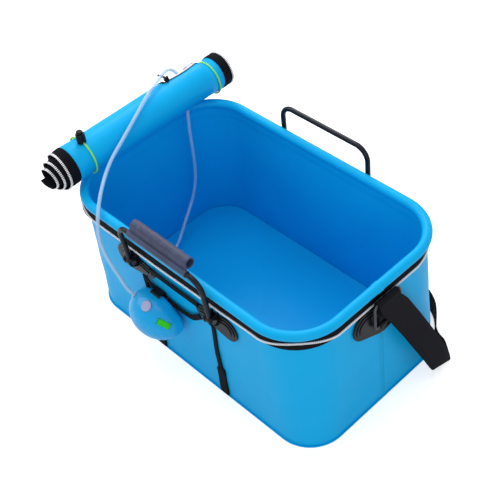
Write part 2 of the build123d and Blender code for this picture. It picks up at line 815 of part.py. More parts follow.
# Sewn end of the shoulder strap: over the ring's top bar and down both sides of it
ring_top = ring_foot + ring_high
loop = ring_wire / 2 + gap + shoulder_thick / 2
sewn = shoulder_thick + 2 * fit
seam_x = ring_out + strap_over - strap_seam
with BuildPart() as strap_end_right:
    with BuildSketch(Plane.XZ.offset(-ring_y)):
        with BuildLine():
            FilletPolyline(
                (seam_x - sewn, ring_top - strap_tail),
                (seam_x - sewn, ring_top - strap_turn),
                (ring_out - loop, ring_top - strap_turn / 2),
                (ring_out - loop, ring_top + loop),
                (ring_out + loop + 2 * fit, ring_top + loop),
                (seam_x, ring_top - strap_turn),
                (seam_x, ring_top - strap_tail),
                (ring_out + strap_over, ring_foot),
                (ring_out + strap_over, ring_foot - strap_join),
                radius=[loop, loop, loop - 2 * fit, loop - 2 * fit, loop, loop, loop],
            )
        trace(line_width=shoulder_thick)
    extrude(amount=shoulder_web / 2, both=True)
save(strap_end_right.part, "strap_end_right")
save(mirror(strap_end_right.part, about=Plane.YZ), "strap_end_left")

# Rest of the shoulder strap: down from the ring, folded on the floor, then on its edge round the tub
stand = shoulder_web / 2 + gap
strap_x = ring_out + strap_over + shoulder_thick + gap
long_end, long_side = base_length / 2, base_width / 2
strap_stations = [
    # centre of the webbing, direction of its width
    ((strap_x, ring_y + 5, ring_foot - strap_start), (0, 1, 0)),
    ((strap_x, ring_y + 13, ring_foot - 11), (0, 0.97, 0.24)),
    ((strap_x + 0.8, ring_y + 28, ring_foot - 27), (0, 0.9, 0.44)),
    ((strap_x + 5, ring_y + 51, ring_foot * 0.61), (0, 0.9, 0.44)),
    ((strap_x + 10, ring_y + 73, ring_foot * 0.35), (0, 0.9, 0.44)),
    ((strap_x + 13.5, ring_y + 86, 1.55 * stand), (0, 0.85, 0.53)),
    ((long_end + 31.5, long_side - 51.5, 1.2 * stand), (0.05, 0.6, 0.8)),
    ((long_end + 26.5, long_side - 44.5, stand), (0, 0, 1)),
    ((long_end + 7.5, long_side - 33.5, stand), (0, 0, 1)),
    ((long_end - 7.5, long_side - 18.5, stand), (0, 0, 1)),
    ((long_end - 21.5, long_side + 0.5, stand), (0, 0, 1)),
    ((long_end - 40.5, long_side + 19.5, stand), (0, 0, 1)),
    ((long_end - 67.5, long_side + 32.5, stand), (0, 0, 1)),
    ((long_end - 104.5, long_side + 36.5, stand), (0, 0, 1)),
    ((0, long_side + 36.5, stand), (0, 0, 1)),
]
with BuildPart() as strap_half:
    for number, (centre, width) in enumerate(strap_stations):
        before = Vector(*strap_stations[max(number - 1, 0)][0])
        after = Vector(*strap_stations[min(number + 1, len(strap_stations) - 1)][0])
        along = after - before
        if number in (0, len(strap_stations) - 1):
            along = Vector(0, 0, -1) if number == 0 else Vector(-1, 0, 0)
        wide = Vector(*width).normalized()
        along = (along - wide * along.dot(wide)).normalized()
        with BuildSketch(Plane(origin=centre, x_dir=wide, z_dir=along)):
            Rectangle(shoulder_web, shoulder_thick)
    loft(ruled=True)
with BuildPart() as shoulder_strap:
    add(strap_half.part)
    mirror(about=Plane.YZ)
save(shoulder_strap.part, "shoulder_strap")


# ---------------------------------------------------------------- pump
def dome(grow):
    """Half ellipsoid of the pump's front, smaller or larger by grow all round."""
    with BuildPart() as half_ball:
        with BuildSketch():
            with BuildLine():
                CenterArc((0, 0), 1, 270, 90)
                Polyline((0, -1), (0, 0), (1, 0))
            make_face()
        revolve(axis=Axis.Y)
        scale(by=(pump_half_long + grow, pump_dome + grow, pump_half_high + grow))
    return half_ball.part.moved(Location((pump_x, -pump_split, pump_z)))


def dome_plane(dx, dz):
    """Plane on the dome with Z along its normal and X as level as it can be."""
    share = 1 - (dx / pump_half_long) ** 2 - (dz / pump_half_high) ** 2
    dy = -pump_dome * math.sqrt(share)
    normal = Vector(dx / pump_half_long**2, dy / pump_dome**2, dz / pump_half_high**2).normalized()
    level = Vector(1, 0, 0) - normal * normal.X
    return Plane(origin=(pump_x + dx, -pump_split + dy, pump_z + dz), x_dir=level, z_dir=normal)


button_plane = dome_plane(button_dx, button_dz)
switch_plane = dome_plane(switch_dx, switch_dz)
nozzle_plane = dome_plane(nozzle_dx, nozzle_dz)
battery_at = (-pump_split - battery_out, pump_z - battery_drop)
motor_at = (-pump_split - motor_out, pump_z + motor_rise)
battery_from = pump_x - battery_long / 2
head_from = pump_x - head_reach
motor_from = head_from + head_long
screw_places = [(-38, 0), (38, 0), (-14, 25), (14, -26)]
rear_places = [(x, -z) for x, z in screw_places]
front_boss = 12.0
seal_half = 1.0  # the seal straddles the parting plane
outer_dome = dome(0)
inner_dome = dome(-pump_shell)
pump_front = Plane(origin=(pump_x, -pump_split, pump_z), x_dir=(1, 0, 0), z_dir=(0, -1, 0))

# Screw bosses and the two ribs that cradle the battery, motor and pump head
with BuildPart() as front_ribs:
    with BuildSketch(pump_front):
        with Locations(*screw_places):
            Circle(boss_round / 2)
    extrude(amount=pump_dome)
    for rib_x in (head_from + head_long / 2, motor_from + motor_long * 0.6):
        with BuildSketch(Plane.YZ.offset(rib_x)):
            with Locations((-pump_split - seal_half - gap, pump_z)):
                Rectangle(pump_dome, 2 * pump_half_high, align=(Align.MAX, Align.CENTER))
            with Locations(battery_at):
                Circle(battery_round / 2 + gap, mode=Mode.SUBTRACT)
            with Locations(motor_at):
                Circle((head_round if rib_x < motor_from else motor_round) / 2 + gap, mode=Mode.SUBTRACT)
            with Locations((-pump_split, pump_z + 30)):
                Rectangle(pump_dome, 30, align=(Align.MAX, Align.CENTER), mode=Mode.SUBTRACT)
        extrude(amount=rib_thick)
    add(outer_dome, mode=Mode.INTERSECT)

with BuildPart() as pump_front_shell:
    add(outer_dome)
    add(inner_dome, mode=Mode.SUBTRACT)
    add(front_ribs.part)
    # sleeve that guides the button, and cheeks that carry the rocker
    with BuildSketch(button_plane.offset(-pump_shell)):
        Circle(button_round / 2 + gap + sleeve_wall)
    extrude(amount=-sleeve_deep)
    with BuildSketch(switch_plane.offset(-pump_shell)):
        cheek_at = switch_wide / 2 + gap + cheek_thick / 2
        with Locations((0, cheek_at), (0, -cheek_at)):
            Rectangle(cheek_long, cheek_thick)
    extrude(amount=-cheek_deep)
    with BuildSketch(switch_plane.offset(1)):
        Rectangle(switch_long + 1.2, switch_wide + 2 * gap)
    extrude(amount=-8, mode=Mode.SUBTRACT)
    with BuildSketch(
        Plane(
            origin=switch_plane.origin - switch_plane.z_dir * switch_pivot,
            x_dir=switch_plane.x_dir,
            z_dir=switch_plane.y_dir,
        )
    ):
        Circle(trunnion / 2 + fit)
    extrude(amount=switch_wide / 2 + 2.2, both=True, mode=Mode.SUBTRACT)
    with BuildSketch(button_plane.offset(5)):
        Circle(button_round / 2 + gap)
    extrude(amount=-20, mode=Mode.SUBTRACT)
    with BuildSketch(nozzle_plane.offset(-nozzle_in)):
        Circle(nozzle_stem / 2 + fit)
    extrude(amount=nozzle_in + 2, mode=Mode.SUBTRACT)
    with BuildSketch(pump_front):
        with Locations(*screw_places):
            Circle(screw_round / 2 + fit)
    extrude(amount=front_boss - 2, mode=Mode.SUBTRACT)
save(pump_front_shell.part, "pump_front_shell")

rear_outline = Plane(origin=(pump_x, -pump_split, pump_z), x_dir=(1, 0, 0), z_dir=(0, 1, 0))
with BuildPart() as rear_block:
    with BuildSketch(rear_outline):
        Ellipse(pump_half_long, pump_half_high)
    extrude(amount=pump_back)
    fillet(rear_block.edges().group_by(Axis.Y)[-1], radius=pump_edge)
with BuildPart() as rear_hollow:
    with BuildSketch(rear_outline):
        Ellipse(pump_half_long - pump_shell, pump_half_high - pump_shell)
    extrude(amount=pump_back - pump_shell)
    fillet(rear_hollow.edges().group_by(Axis.Y)[-1], radius=pump_edge - pump_shell)
board_back = pump_back - pump_shell - 2.0  # depth of the board's rear face behind the split
board_place = (0, -3)
with BuildPart() as rear_posts:
    with BuildSketch(rear_outline):
        with Locations(*rear_places):
            Circle(boss_round / 2 + 1)
    extrude(amount=pump_back)
    with BuildSketch(rear_outline.offset(board_back)):
        with Locations(board_place):
            with GridLocations(board_long - 6, board_high - 6, 2, 2):
                Circle(1.5)
    extrude(amount=pump_back - board_back)
    add(rear_block.part, mode=Mode.INTERSECT)
with BuildPart() as pump_rear_shell:
    add(rear_block.part)
    add(rear_hollow.part, mode=Mode.SUBTRACT)
    add(rear_posts.part)
    with Locations(rear_outline.offset(pump_back)):
        with Locations(*rear_places):
            CounterBoreHole(screw_round / 2 + fit, screw_head / 2 + gap, screw_head_thick + gap, pump_back + 1)
save(pump_rear_shell.part, "pump_rear_shell")

seal_outer = 2 * gap / 3
with BuildPart() as pump_seal:
    with BuildSketch(rear_outline.offset(-seal_half)):
        Ellipse(pump_half_long - pump_shell - seal_outer, pump_half_high - pump_shell - seal_outer)
        Ellipse(pump_half_long - pump_shell - 2, pump_half_high - pump_shell - 2, mode=Mode.SUBTRACT)
    extrude(amount=2 * seal_half)
save(pump_seal.part, "pump_seal")

with BuildPart() as pump_button:
    with BuildSketch(button_plane.offset(button_proud)):
        Circle(button_round / 2)
    extrude(amount=-button_deep)
    fillet(pump_button.edges().sort_by(Axis(button_plane.origin, button_plane.z_dir))[-1], radius=1.0)
save(pump_button.part, "pump_button")

switch_axis = Plane(
    origin=switch_plane.origin - switch_plane.z_dir * switch_pivot,
    x_dir=switch_plane.x_dir,
    z_dir=switch_plane.y_dir,
)
with BuildPart() as pump_switch:
    with BuildSketch(switch_plane.offset(switch_proud)):
        RectangleRounded(switch_long, switch_wide, 1.5)
    extrude(amount=-switch_proud - switch_deep)
    with BuildSketch(switch_plane.offset(switch_proud)):
        with Locations((switch_long / 2 - 3.5, 0)):
            Circle(1.6)
    extrude(amount=0.6)
    with BuildSketch(switch_axis):
        Circle(trunnion / 2)
    extrude(amount=switch_wide / 2 + 2.0, both=True)
save(pump_switch.part, "pump_switch")

with BuildPart() as pump_nozzle:
    with BuildSketch(nozzle_plane.offset(0.3)):
        Circle(nozzle_flange / 2)
    extrude(amount=1.6)
    with BuildSketch(nozzle_plane.offset(nozzle_out)):
        Circle(nozzle_stem / 2)
    extrude(amount=-nozzle_out - nozzle_in)
save(pump_nozzle.part, "pump_nozzle")

with BuildPart() as pump_battery:
    with BuildSketch(Plane.YZ.offset(battery_from)):
        with Locations(battery_at):
            Circle(battery_round / 2)
    extrude(amount=battery_long)
save(pump_battery.part, "pump_battery")

with BuildPart() as pump_head:
    with BuildSketch(Plane.YZ.offset(head_from)):
        with Locations(motor_at):
            Circle(head_round / 2)
    extrude(amount=head_long)
save(pump_head.part, "pump_head")

with BuildPart() as pump_motor:
    with BuildSketch(Plane.YZ.offset(motor_from)):
        with Locations(motor_at):
            Circle(motor_round / 2)
    extrude(amount=motor_long)
    with BuildSketch(Plane.YZ.offset(motor_from + motor_long)):
        with Locations(motor_at):
            Circle(motor_nose)
    extrude(amount=motor_nose / 2)
save(pump_motor.part, "pump_motor")

with BuildPart() as pump_circuit_board:
    with BuildSketch(rear_outline.offset(board_back)):
        with Locations(board_place):
            Rectangle(board_long, board_high)
    extrude(amount=-board_thick)
save(pump_circuit_board.part, "pump_circuit_board")

screw_seat = pump_back - screw_head_thick - gap
with BuildPart() as pump_screws:
    with BuildSketch(rear_outline.offset(screw_seat)):
        with Locations(*rear_places):
            Circle(screw_head / 2)
    extrude(amount=screw_head_thick)
    with BuildSketch(rear_outline.offset(screw_seat)):
        with Locations(*rear_places):
            Circle(screw_round / 2)
    extrude(amount=screw_short - screw_seat - front_boss)
save(pump_screws.part, "pump_screws")

# Hook on the pump's back: up from the shell, over the hanger strap and down behind it
clip_over = hanger_line[1][1] + hanger_high / 2 + clip_clear + clip_thick / 2
clip_behind = -hanger_back + gap + clip_thick / 2
with BuildPart() as pump_clip:
    with BuildSketch(Plane.YZ.offset(pump_x)):
        with BuildLine():
            FilletPolyline(
                (-pump_split + clip_root, pump_z + pump_half_high - clip_sunk),
                (-pump_split + clip_root, clip_over),
                (clip_behind, clip_over),
                (clip_behind, clip_over - clip_drop),
                radius=clip_bend,
            )
        trace(line_width=clip_thick)
    extrude(amount=clip_wide / 2, both=True)
    add(rear_block.part, mode=Mode.SUBTRACT)
save(pump_clip.part, "pump_clip")


# ---------------------------------------------------------------- air hose and stone
def cord_line(points):
    """Rounded line through hand-set points, with the widest even bend at each of them."""
    points = [Vector(*point) for point in points]
    radii = []
    for before, corner, after in zip(points, points[1:], points[2:]):
        turn = math.radians((corner - before).get_angle(after - corner))
        shorter = min((corner - before).length, (after - corner).length)
        radii.append(0.45 * shorter / math.tan(turn / 2))
    print("bend radii", [round(radius, 1) for radius in radii])
    FilletPolyline(*points, radius=radii)


nozzle_end = nozzle_plane.origin + nozzle_plane.z_dir * (nozzle_out + fit)
nozzle_way = nozzle_plane.z_dir * 10
front_out = -pump_split
tub_end = -base_length / 2
hose_route = [
    tuple(nozzle_end),
    tuple(nozzle_end + nozzle_way),
    # up beside the pump and over the rim
    (pump_x - 58, front_out - 12, pump_z + 46),
    (pump_x - 76, front_out - 12, pump_z + 63),
    (pump_x - 96, front_out - 10, pump_z + 91),
    (pump_x - 106, front_out, pump_z + 120),
    # along the roll
    (roll_x + 83.5, roll_front - 10, roll_z - 16),
    (roll_x + 62.5, roll_front + 18, roll_z - 6),
    (roll_x + 45.5, roll_front + 47, roll_z + 3),
    (roll_x + 37.5, roll_front + 76, roll_z + 14),
    (roll_x + 30.5, roll_front + 104, roll_z + 26),
    (roll_x + 21.5, roll_front + 128, roll_z + 33),
    (roll_x + 11.5, roll_front + 152, roll_z + 38),
    (roll_x + 0.5, hatch_rear - 97, roll_z + 41),
    (roll_x - 9.5, hatch_rear - 73, roll_z + 41),
    (roll_x - 21.5, hatch_rear - 50, roll_z + 38),
    # in through the hatch and out between the wraps
    (roll_x - 29.5, hatch_rear - 32, roll_z + 27),
    (roll_x - 25.5, hatch_rear - 23, roll_z + 12),
    (roll_x - 25, hatch_rear - 22, roll_z - 5),
    (roll_x - 18.5, hatch_rear - 29, roll_z - 21.5),
    (roll_x - 4.5, hatch_rear - 37, roll_z - 28),
    (roll_x + 9.5, hatch_rear - 43.5, roll_z - 32),
    (roll_x + 13, hatch_rear - 48, roll_z - 47),
    # down inside the tub to its floor
    (roll_x + 13.5, hatch_rear - 50, roll_z - 73),
    (roll_x + 13, hatch_rear - 50, roll_z - 106),
    (tub_end + 23.5, hatch_rear - 51, roll_z - 140),
    (tub_end + 21.5, hatch_rear - 54, 104),
    (tub_end + 21.5, hatch_rear - 65, 74),
    (tub_end + 25.5, hatch_rear - 83, 54),
    (tub_end + 32.5, hatch_rear - 105, 36),
    (tub_end + 39.5, hatch_rear - 126, 18),
    (tub_end + 43.5, hatch_rear - 145, sheet + stone_round / 2 + 0.2),
    (tub_end + 46.5, hatch_rear - 161, sheet + stone_round / 2 + 0.2),
]
with BuildPart() as air_hose:
    with BuildLine() as hose_line:
        cord_line(hose_route)
    with BuildSketch(Plane(origin=hose_line.line @ 0, z_dir=hose_line.line % 0)):
        Circle(hose / 2)
    sweep(path=hose_line.line)
save(air_hose.part, "air_hose")
print("air hose length", round(hose_line.wires()[0].length, 1))

stone_start = Vector(*hose_route[-1])
stone_along = (stone_start - Vector(*hose_route[-2])).normalized()
with BuildPart() as air_stone:
    with BuildSketch(Plane(origin=stone_start + stone_along * fit, z_dir=stone_along)):
        Circle(stone_round / 2)
    extrude(amount=stone_long)
    fillet(air_stone.edges().filter_by(GeomType.CIRCLE), radius=2)
save(air_stone.part, "air_stone")
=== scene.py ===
# %% [markdown]
# # A soft bait bucket with an air pump
#
# The bucket is a tub welded from thin foamed sheet. Its zip lid is rolled back, two bails stand
# up from its long sides, a shoulder strap hangs from its ends, and an air pump sends a clear
# hose through the lid. The solids of every piece come in as a fixed frame, in metres, with the
# floor at z = 0. This lesson dresses them: the hard pieces keep their solids and get finishes,
# and the soft ones are built again as what they are.

# %% Load the frame
import math

import bpy
from mathutils import Matrix, Vector, noise


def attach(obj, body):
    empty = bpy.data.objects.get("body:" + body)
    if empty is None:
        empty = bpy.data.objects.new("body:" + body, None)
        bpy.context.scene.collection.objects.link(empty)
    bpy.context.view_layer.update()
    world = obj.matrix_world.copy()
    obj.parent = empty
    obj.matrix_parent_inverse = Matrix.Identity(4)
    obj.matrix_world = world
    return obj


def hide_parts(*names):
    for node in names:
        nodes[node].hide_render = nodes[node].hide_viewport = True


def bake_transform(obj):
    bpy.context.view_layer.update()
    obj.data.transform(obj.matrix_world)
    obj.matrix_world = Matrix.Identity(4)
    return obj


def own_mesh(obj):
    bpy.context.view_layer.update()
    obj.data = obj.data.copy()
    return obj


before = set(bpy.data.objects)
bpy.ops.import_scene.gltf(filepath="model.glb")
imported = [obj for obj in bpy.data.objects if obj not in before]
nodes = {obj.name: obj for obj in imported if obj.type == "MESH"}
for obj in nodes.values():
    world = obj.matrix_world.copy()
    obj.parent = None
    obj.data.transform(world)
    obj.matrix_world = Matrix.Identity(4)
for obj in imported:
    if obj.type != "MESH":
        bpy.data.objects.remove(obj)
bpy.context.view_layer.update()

mm = 0.001


def put(name, data):
    """A new object in the scene."""
    made = bpy.data.objects.new(name, data)
    bpy.context.scene.collection.objects.link(made)
    return made


# %% [markdown]
# ## The camera
#
# A camera could be aimed with a Track To constraint. Its three axes are worked out here instead,
# because the view also leans a little, and a matrix says that in one line. The lens is a long
# one, so the bucket keeps its proportions.

# %% Camera
view_turn, view_rise, view_lean = (math.radians(angle) for angle in (51.91, 45.03, -8.47))
view_target = Vector((-26.13, 11.91, 119.33)) * mm
view_distance = 1626.15 * mm
view_back = Vector(
    (
        math.sin(view_turn) * math.cos(view_rise),
        -math.cos(view_turn) * math.cos(view_rise),
        math.sin(view_rise),
    )
)
level = (-view_back).cross(Vector((0, 0, 1))).normalized()
upright = view_back.cross(level)
view_right = level * math.cos(view_lean) + upright * math.sin(view_lean)
view_up = upright * math.cos(view_lean) - level * math.sin(view_lean)
lens = bpy.data.cameras.new("view")
lens.sensor_width = 36.0
lens.lens = 74.48
camera = put("view", lens)
camera.matrix_world = Matrix.Translation(view_target + view_back * view_distance) @ Matrix(
    (view_right, view_up, view_back)
).transposed().to_4x4()
bpy.context.scene.camera = camera
bpy.context.scene.view_settings.view_transform = "Standard"
print("camera at", [round(value, 3) for value in camera.matrix_world.translation])

# %% [markdown]
# ## The air hose
#
# A clear vinyl hose has one length and bends only gently. A mesh tube would have to be bent by
# hand. A NURBS curve with a round bevel is the simplest way, because its control points are the
# route itself: out of the pump, over the rim, along the roll, in through the hatch and down to
# the air stone. Order 3 keeps the line close to its points.

# %% Hose
hose_diameter = 6.0
hose_route = [
    (-76.38, -183.26, 148.07), (-82.48, -186.27, 155.40), (-96, -184, 166), (-114, -184, 183),
    (-134, -182, 211), (-144, -172, 240), (-160, -150, 262), (-181, -122, 272),
    (-198, -93, 281), (-206, -64, 292), (-213, -36, 304), (-222, -12, 311), (-232, 12, 316),
    (-243, 36, 319), (-253, 60, 319), (-265, 83, 316), (-273, 101, 305), (-269, 110, 290),
    (-268.5, 111, 273), (-262, 104, 256.5), (-248, 96, 250), (-234, 89.5, 246),
    (-230.5, 85, 231), (-230, 83, 205), (-230.5, 83, 172), (-231, 82, 138), (-233, 79, 104),
    (-233, 68, 74), (-229, 50, 54), (-222, 28, 36), (-215, 7, 18), (-211, -12, 10.4),
    (-208, -28, 10.4),
]

line = bpy.data.curves.new("clear_air_hose", "CURVE")
line.dimensions = "3D"
spline = line.splines.new("NURBS")
spline.points.add(len(hose_route) - 1)
for point, place in zip(spline.points, hose_route):
    point.co = (*(value * mm for value in place), 1)
    point.radius = hose_diameter / 2 * mm
spline.order_u = 3
spline.use_endpoint_u = True
spline.resolution_u = 8
line.bevel_depth = 1.0
line.bevel_resolution = 5
line.use_fill_caps = True
clear_line = put("clear_air_hose", line)
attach(clear_line, "tub")
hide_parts("air_hose")

# %% [markdown]
# ## Floor and light
#
# A bucket like this shows its folds best in soft light on a pale floor. Four square lamps and
# the sky colour all round give shadows without hard edges. The floor is white paint that glows
# faintly for the camera alone, so it reads as white and still shows the shadow.

# %% Floor and lamps
floor_half, floor_height = 6.0, -0.0005
floor_mesh = bpy.data.meshes.new("studio_floor")
floor_corners = [
    (x * floor_half, y * floor_half, floor_height) for x, y in ((-1, -1), (1, -1), (1, 1), (-1, 1))
]
floor_mesh.from_pydata(floor_corners, [], [(0, 1, 2, 3)])
studio_floor = put("studio_floor", floor_mesh)

lamps = [
    # name, place, the point it looks at, size, power
    ("top_lamp", (-0.1, 0.1, 2.1), (0, 0, 0.1), 1.3, 11),
    ("left_lamp", (-1.7, -0.7, 1.35), (0.1, 0, 0.2), 1.1, 10),
    ("rear_lamp", (-1.1, 0.9, 1.5), (0, 0, 0.2), 0.8, 14),
    ("side_lamp", (1.9, -1.5, 1.1), (0, 0, 0.15), 1.2, 10),
]
for name, place, aim, size, power in lamps:
    light = bpy.data.lights.new(name, "AREA")
    light.size = size
    light.energy = power
    lamp = put(name, light)
    lamp.location = place
    lamp.rotation_euler = (Vector(aim) - Vector(place)).to_track_quat("-Z", "Y").to_euler()
print(len(lamps), "lamps and a floor")

# %% [markdown]
# ## A short way to write shaders
#
# Node links can be made one by one, but a pattern is easier to read as a formula. `Wire` wraps
# one output of a node, and its operators add Math nodes, so `wire * 2 + 1` works. `Finish` is
# one material: it adds any other node, mixes colours, and feeds the shader's sockets.

# %% Wire
def adds(operation, swapped=False):
    """A method of Wire that adds one Math node; swapped puts the wire second."""

    def method(wire, other=0.0):
        first, second = (other, wire) if swapped else (wire, other)
        return wire.finish.node("ShaderNodeMath", {0: first, 1: second}, operation=operation)

    return method


class Wire:
    """One output of a node; arithmetic on it adds Math nodes."""

    __add__ = __radd__ = adds("ADD")
    __mul__ = __rmul__ = adds("MULTIPLY")
    __sub__ = adds("SUBTRACT")
    __rsub__ = adds("SUBTRACT", swapped=True)
    __gt__ = adds("GREATER_THAN")
    __lt__ = adds("LESS_THAN")
    sine = adds("SINE")
    size = adds("ABSOLUTE")

    def __init__(self, finish, socket):
        self.finish = finish
        self.socket = socket


print("Wire ready")

# %% Finish
class Finish:
    """One material built on the Principled shader."""

    def __init__(self, name, fixed):
        self.material = bpy.data.materials.new(name)
        self.material.use_nodes = True
        self.tree = self.material.node_tree
        self.shader = self.tree.nodes["Principled BSDF"]
        for socket, value in fixed.items():
            self.shader.inputs[socket].default_value = value

    def node(self, kind, inputs=None, output=0, **settings):
        """Any node: its settings first, then the values or wires of its sockets."""
        made = self.tree.nodes.new(kind)
        for key, value in settings.items():
            setattr(made, key, value)
        for key, value in (inputs or {}).items():
            self.set(made.inputs[key], value)
        return Wire(self, made.outputs[output])

    def set(self, socket, value):
        """Join a wire to a socket, or write a value on it."""
        if isinstance(value, Wire):
            self.tree.links.new(value.socket, socket)
        elif socket.type == "RGBA":
            socket.default_value = (*value, 1)
        else:
            socket.default_value = value

    def feed(self, socket, value):
        self.set(self.shader.inputs[socket], value)

    def spot(self, kind="Object"):
        """Where a point is, in metres: in the frame, or on the piece if kind is UV."""
        return self.node("ShaderNodeTexCoord", output=kind)

    def parts(self, wire):
        """The three parts of a vector."""
        split = self.tree.nodes.new("ShaderNodeSeparateXYZ")
        self.set(split.inputs[0], wire)
        return [Wire(self, output) for output in split.outputs]

    def noise(self, scale, detail=3.0):
        """Soft clouds from 0 to 1; scale is in waves per metre."""
        inputs = {"Vector": self.spot(), "Scale": scale, "Detail": detail}
        return self.node("ShaderNodeTexNoise", inputs)

    def cells(self, scale, feature="F1"):
        """Distance to the nearest of scattered points; scale is in cells per metre."""
        inputs = {"Vector": self.spot(), "Scale": scale}
        return self.node("ShaderNodeTexVoronoi", inputs, feature=feature)

    def mix(self, share, first, second):
        """A colour between two others. Sockets 6 and 7 are the Mix node's two colours."""
        return self.node("ShaderNodeMix", {0: share, 6: first, 7: second}, 2, data_type="RGBA")

    def wear(self, colour, roughness, height=None, depth=0.0):
        """Feed colour, roughness and a relief of 0 to 1, depth in metres; gives the material."""
        self.feed("Base Color", colour)
        self.feed("Roughness", roughness)
        if height:
            inputs = {"Height": height, "Strength": 1.0, "Distance": depth}
            self.feed("Normal", self.node("ShaderNodeBump", inputs))
        return self.material


print("Finish ready")

# %% [markdown]
# Lit evenly, a white floor and a white sky would both look grey. So each has two brightnesses:
# one that lights the pieces, and a brighter one that only the camera meets. A backdrop picture
# could do the same, but these few nodes need no picture and show no edge.

# %% Paint for the floor and the sky
floor_paint = Finish("floor_paint", {"Roughness": 0.9, "Specular IOR Level": 0.0})
floor_paint.feed("Base Color", (0.86, 0.86, 0.86))
floor_paint.feed("Emission Color", (1.0, 1.0, 1.0))
camera_sees = floor_paint.node("ShaderNodeLightPath", output="Is Camera Ray")
floor_paint.feed("Emission Strength", camera_sees * 0.52)
studio_floor.data.materials.append(floor_paint.material)

sky = bpy.data.worlds.new("sky")
bpy.context.scene.world = sky
sky.use_nodes = True
sky_nodes, link = sky.node_tree.nodes, sky.node_tree.links.new
sky_light, sky_seen = sky_nodes["Background"], sky_nodes.new("ShaderNodeBackground")
for shade, strength in ((sky_light, 0.62), (sky_seen, 1.0)):
    shade.inputs["Color"].default_value = (1.0, 1.0, 1.0, 1)
    shade.inputs["Strength"].default_value = strength
path, either = sky_nodes.new("ShaderNodeLightPath"), sky_nodes.new("ShaderNodeMath")
either.operation = "MAXIMUM"
blend_sky = sky_nodes.new("ShaderNodeMixShader")
link(path.outputs["Is Camera Ray"], either.inputs[0])
link(path.outputs["Is Transmission Ray"], either.inputs[1])
for i, wire in enumerate((either, sky_light, sky_seen)):
    link(wire.outputs[0], blend_sky.inputs[i])
link(blend_sky.outputs[0], sky_nodes["World Output"].inputs["Surface"])
print("sky strength", sky_light.inputs["Strength"].default_value)

# %% [markdown]
# ## Finishes
#
# Every finish is a formula of place, so nothing is painted by hand. The coated sheet has a fine
# leathery grain and slightly cloudy colour. Webbing is woven along its own length, so its
# pattern reads the piece's own measure across and along. Moulded plastic has a fine spark-eroded
# texture that dulls its shine.

# %% Coated sheet
seam_place, weld_pitch, dash_half = 4.0, 6.0, 3.3


def coated_sheet(name, colour, deep):
    """Foamed sheet with a smooth coat: cloudy colour, fine grain, a soft shine."""
    finish = Finish(name, {"Specular IOR Level": 0.1})
    cloudy = finish.mix(finish.noise(14.0, 4.0) * 1.4 - 0.2, deep, colour)
    grain = finish.cells(900.0) * 0.6 + finish.noise(260.0, 2.0) * 0.8
    return finish.wear(cloudy, finish.noise(60.0, 2.0) * 0.12 + 0.32, grain, 0.00006)


def ladder_sheet(name, colour, deep):
    """Coated sheet with the comb tool's dashes pressed into it, painted darker as the shade in
    them.
    """
    finish = Finish(name, {"Specular IOR Level": 0.1})
    _, y, z = finish.parts(finish.spot())
    across = (y - seam_place * mm).size() < dash_half * mm
    dashes = (z * (2 * math.pi / (weld_pitch * mm))).sine() > 0.1
    # The dashes get the darker colour: painted shade in their pressed hollows.
    dash_shade = finish.mix(across * dashes, colour, deep)
    return finish.wear(dash_shade, finish.noise(500.0) * 0.12 + 0.32)


blue_sheet = coated_sheet("blue_sheet", (0.003, 0.428, 0.840), (0.002, 0.388, 0.790))
# The seam sheet's second colour is the painted shade of the pressed dashes.
seam_sheet = ladder_sheet("seam_sheet", (0.004, 0.45, 0.87), (0.002, 0.27, 0.56))
print("blue sheet, plain and with a ladder weld")

# %% [markdown]
# Webbing, zip tape and elastic are woven. A picture of cloth could be wrapped over them, but
# crossed sine waves give threads of any pitch and follow each piece's own length. In a twill the
# two measures are added first, so its threads run slanting.

# %% Webbing and zip tape
def woven(name, colour, light, pitch, rough, twill=False, relief=0.00025):
    """Threads crossing over and under, pitch metres apart; twill runs them slanting."""
    finish = Finish(name, {"Specular IOR Level": 0.07})
    across, along, _ = finish.parts(finish.spot("UV"))
    turn = 2 * math.pi / pitch
    if twill:
        threads = ((across + along) * turn).sine() * 0.5 + 0.5
        rows = (along * turn * 2.0).sine() * 0.5 + 0.5
    else:
        rows = (along * turn).sine()
        threads = (across * turn).sine() * rows * 0.5 + 0.5
        rows = rows * 0.5 + 0.5
    height = threads * 0.65 + rows * 0.35
    dust = finish.noise(180.0)
    # Raised threads take the lighter colour as a painted highlight, with painted shade between
    # them; the dust noise is uneven tone.
    dust_and_crown_highlight = finish.mix(height * 0.6 + dust * 0.4, colour, light)
    return finish.wear(dust_and_crown_highlight, rough + dust * 0.1, height, relief)


# The second colour of each woven finish is the painted highlight on the raised threads.
black_webbing = woven(
    "black_webbing", (0.001, 0.001, 0.002), (0.013, 0.013, 0.019), 0.0022, 0.62
)
zip_cloth = woven(
    "zip_cloth", (0.002, 0.002, 0.004), (0.008, 0.008, 0.012), 0.0011, 0.66, True, 0.0001
)
lime_elastic = woven(
    "lime_elastic", (0.10, 0.62, 0.08), (0.42, 0.96, 0.30), 0.0024, 0.5, True, 0.0002
)
print("webbing, zip tape and elastic")

# %% [markdown]
# Brackets, shells and buttons are moulded, the bails painted, the rings and pins plated. Their
# surfaces are nearly even and differ only in colour, roughness and shine, so a material library
# would be more than is needed: one function makes them all.

# %% Moulded and painted pieces
def moulded(name, colour, roughness, grain=700.0, depth=0.00003, shine=0.5, metal=0.0):
    """Injection-moulded plastic, paint or plated steel with a fine even texture."""
    finish = Finish(name, {"Specular IOR Level": shine, "Metallic": metal})
    cloud = finish.noise(90.0)
    cloudy = finish.mix(cloud, tuple(value * 0.86 for value in colour), colour)
    return finish.wear(cloudy, cloud * 0.12 + (roughness - 0.06), finish.noise(grain, 2.0), depth)


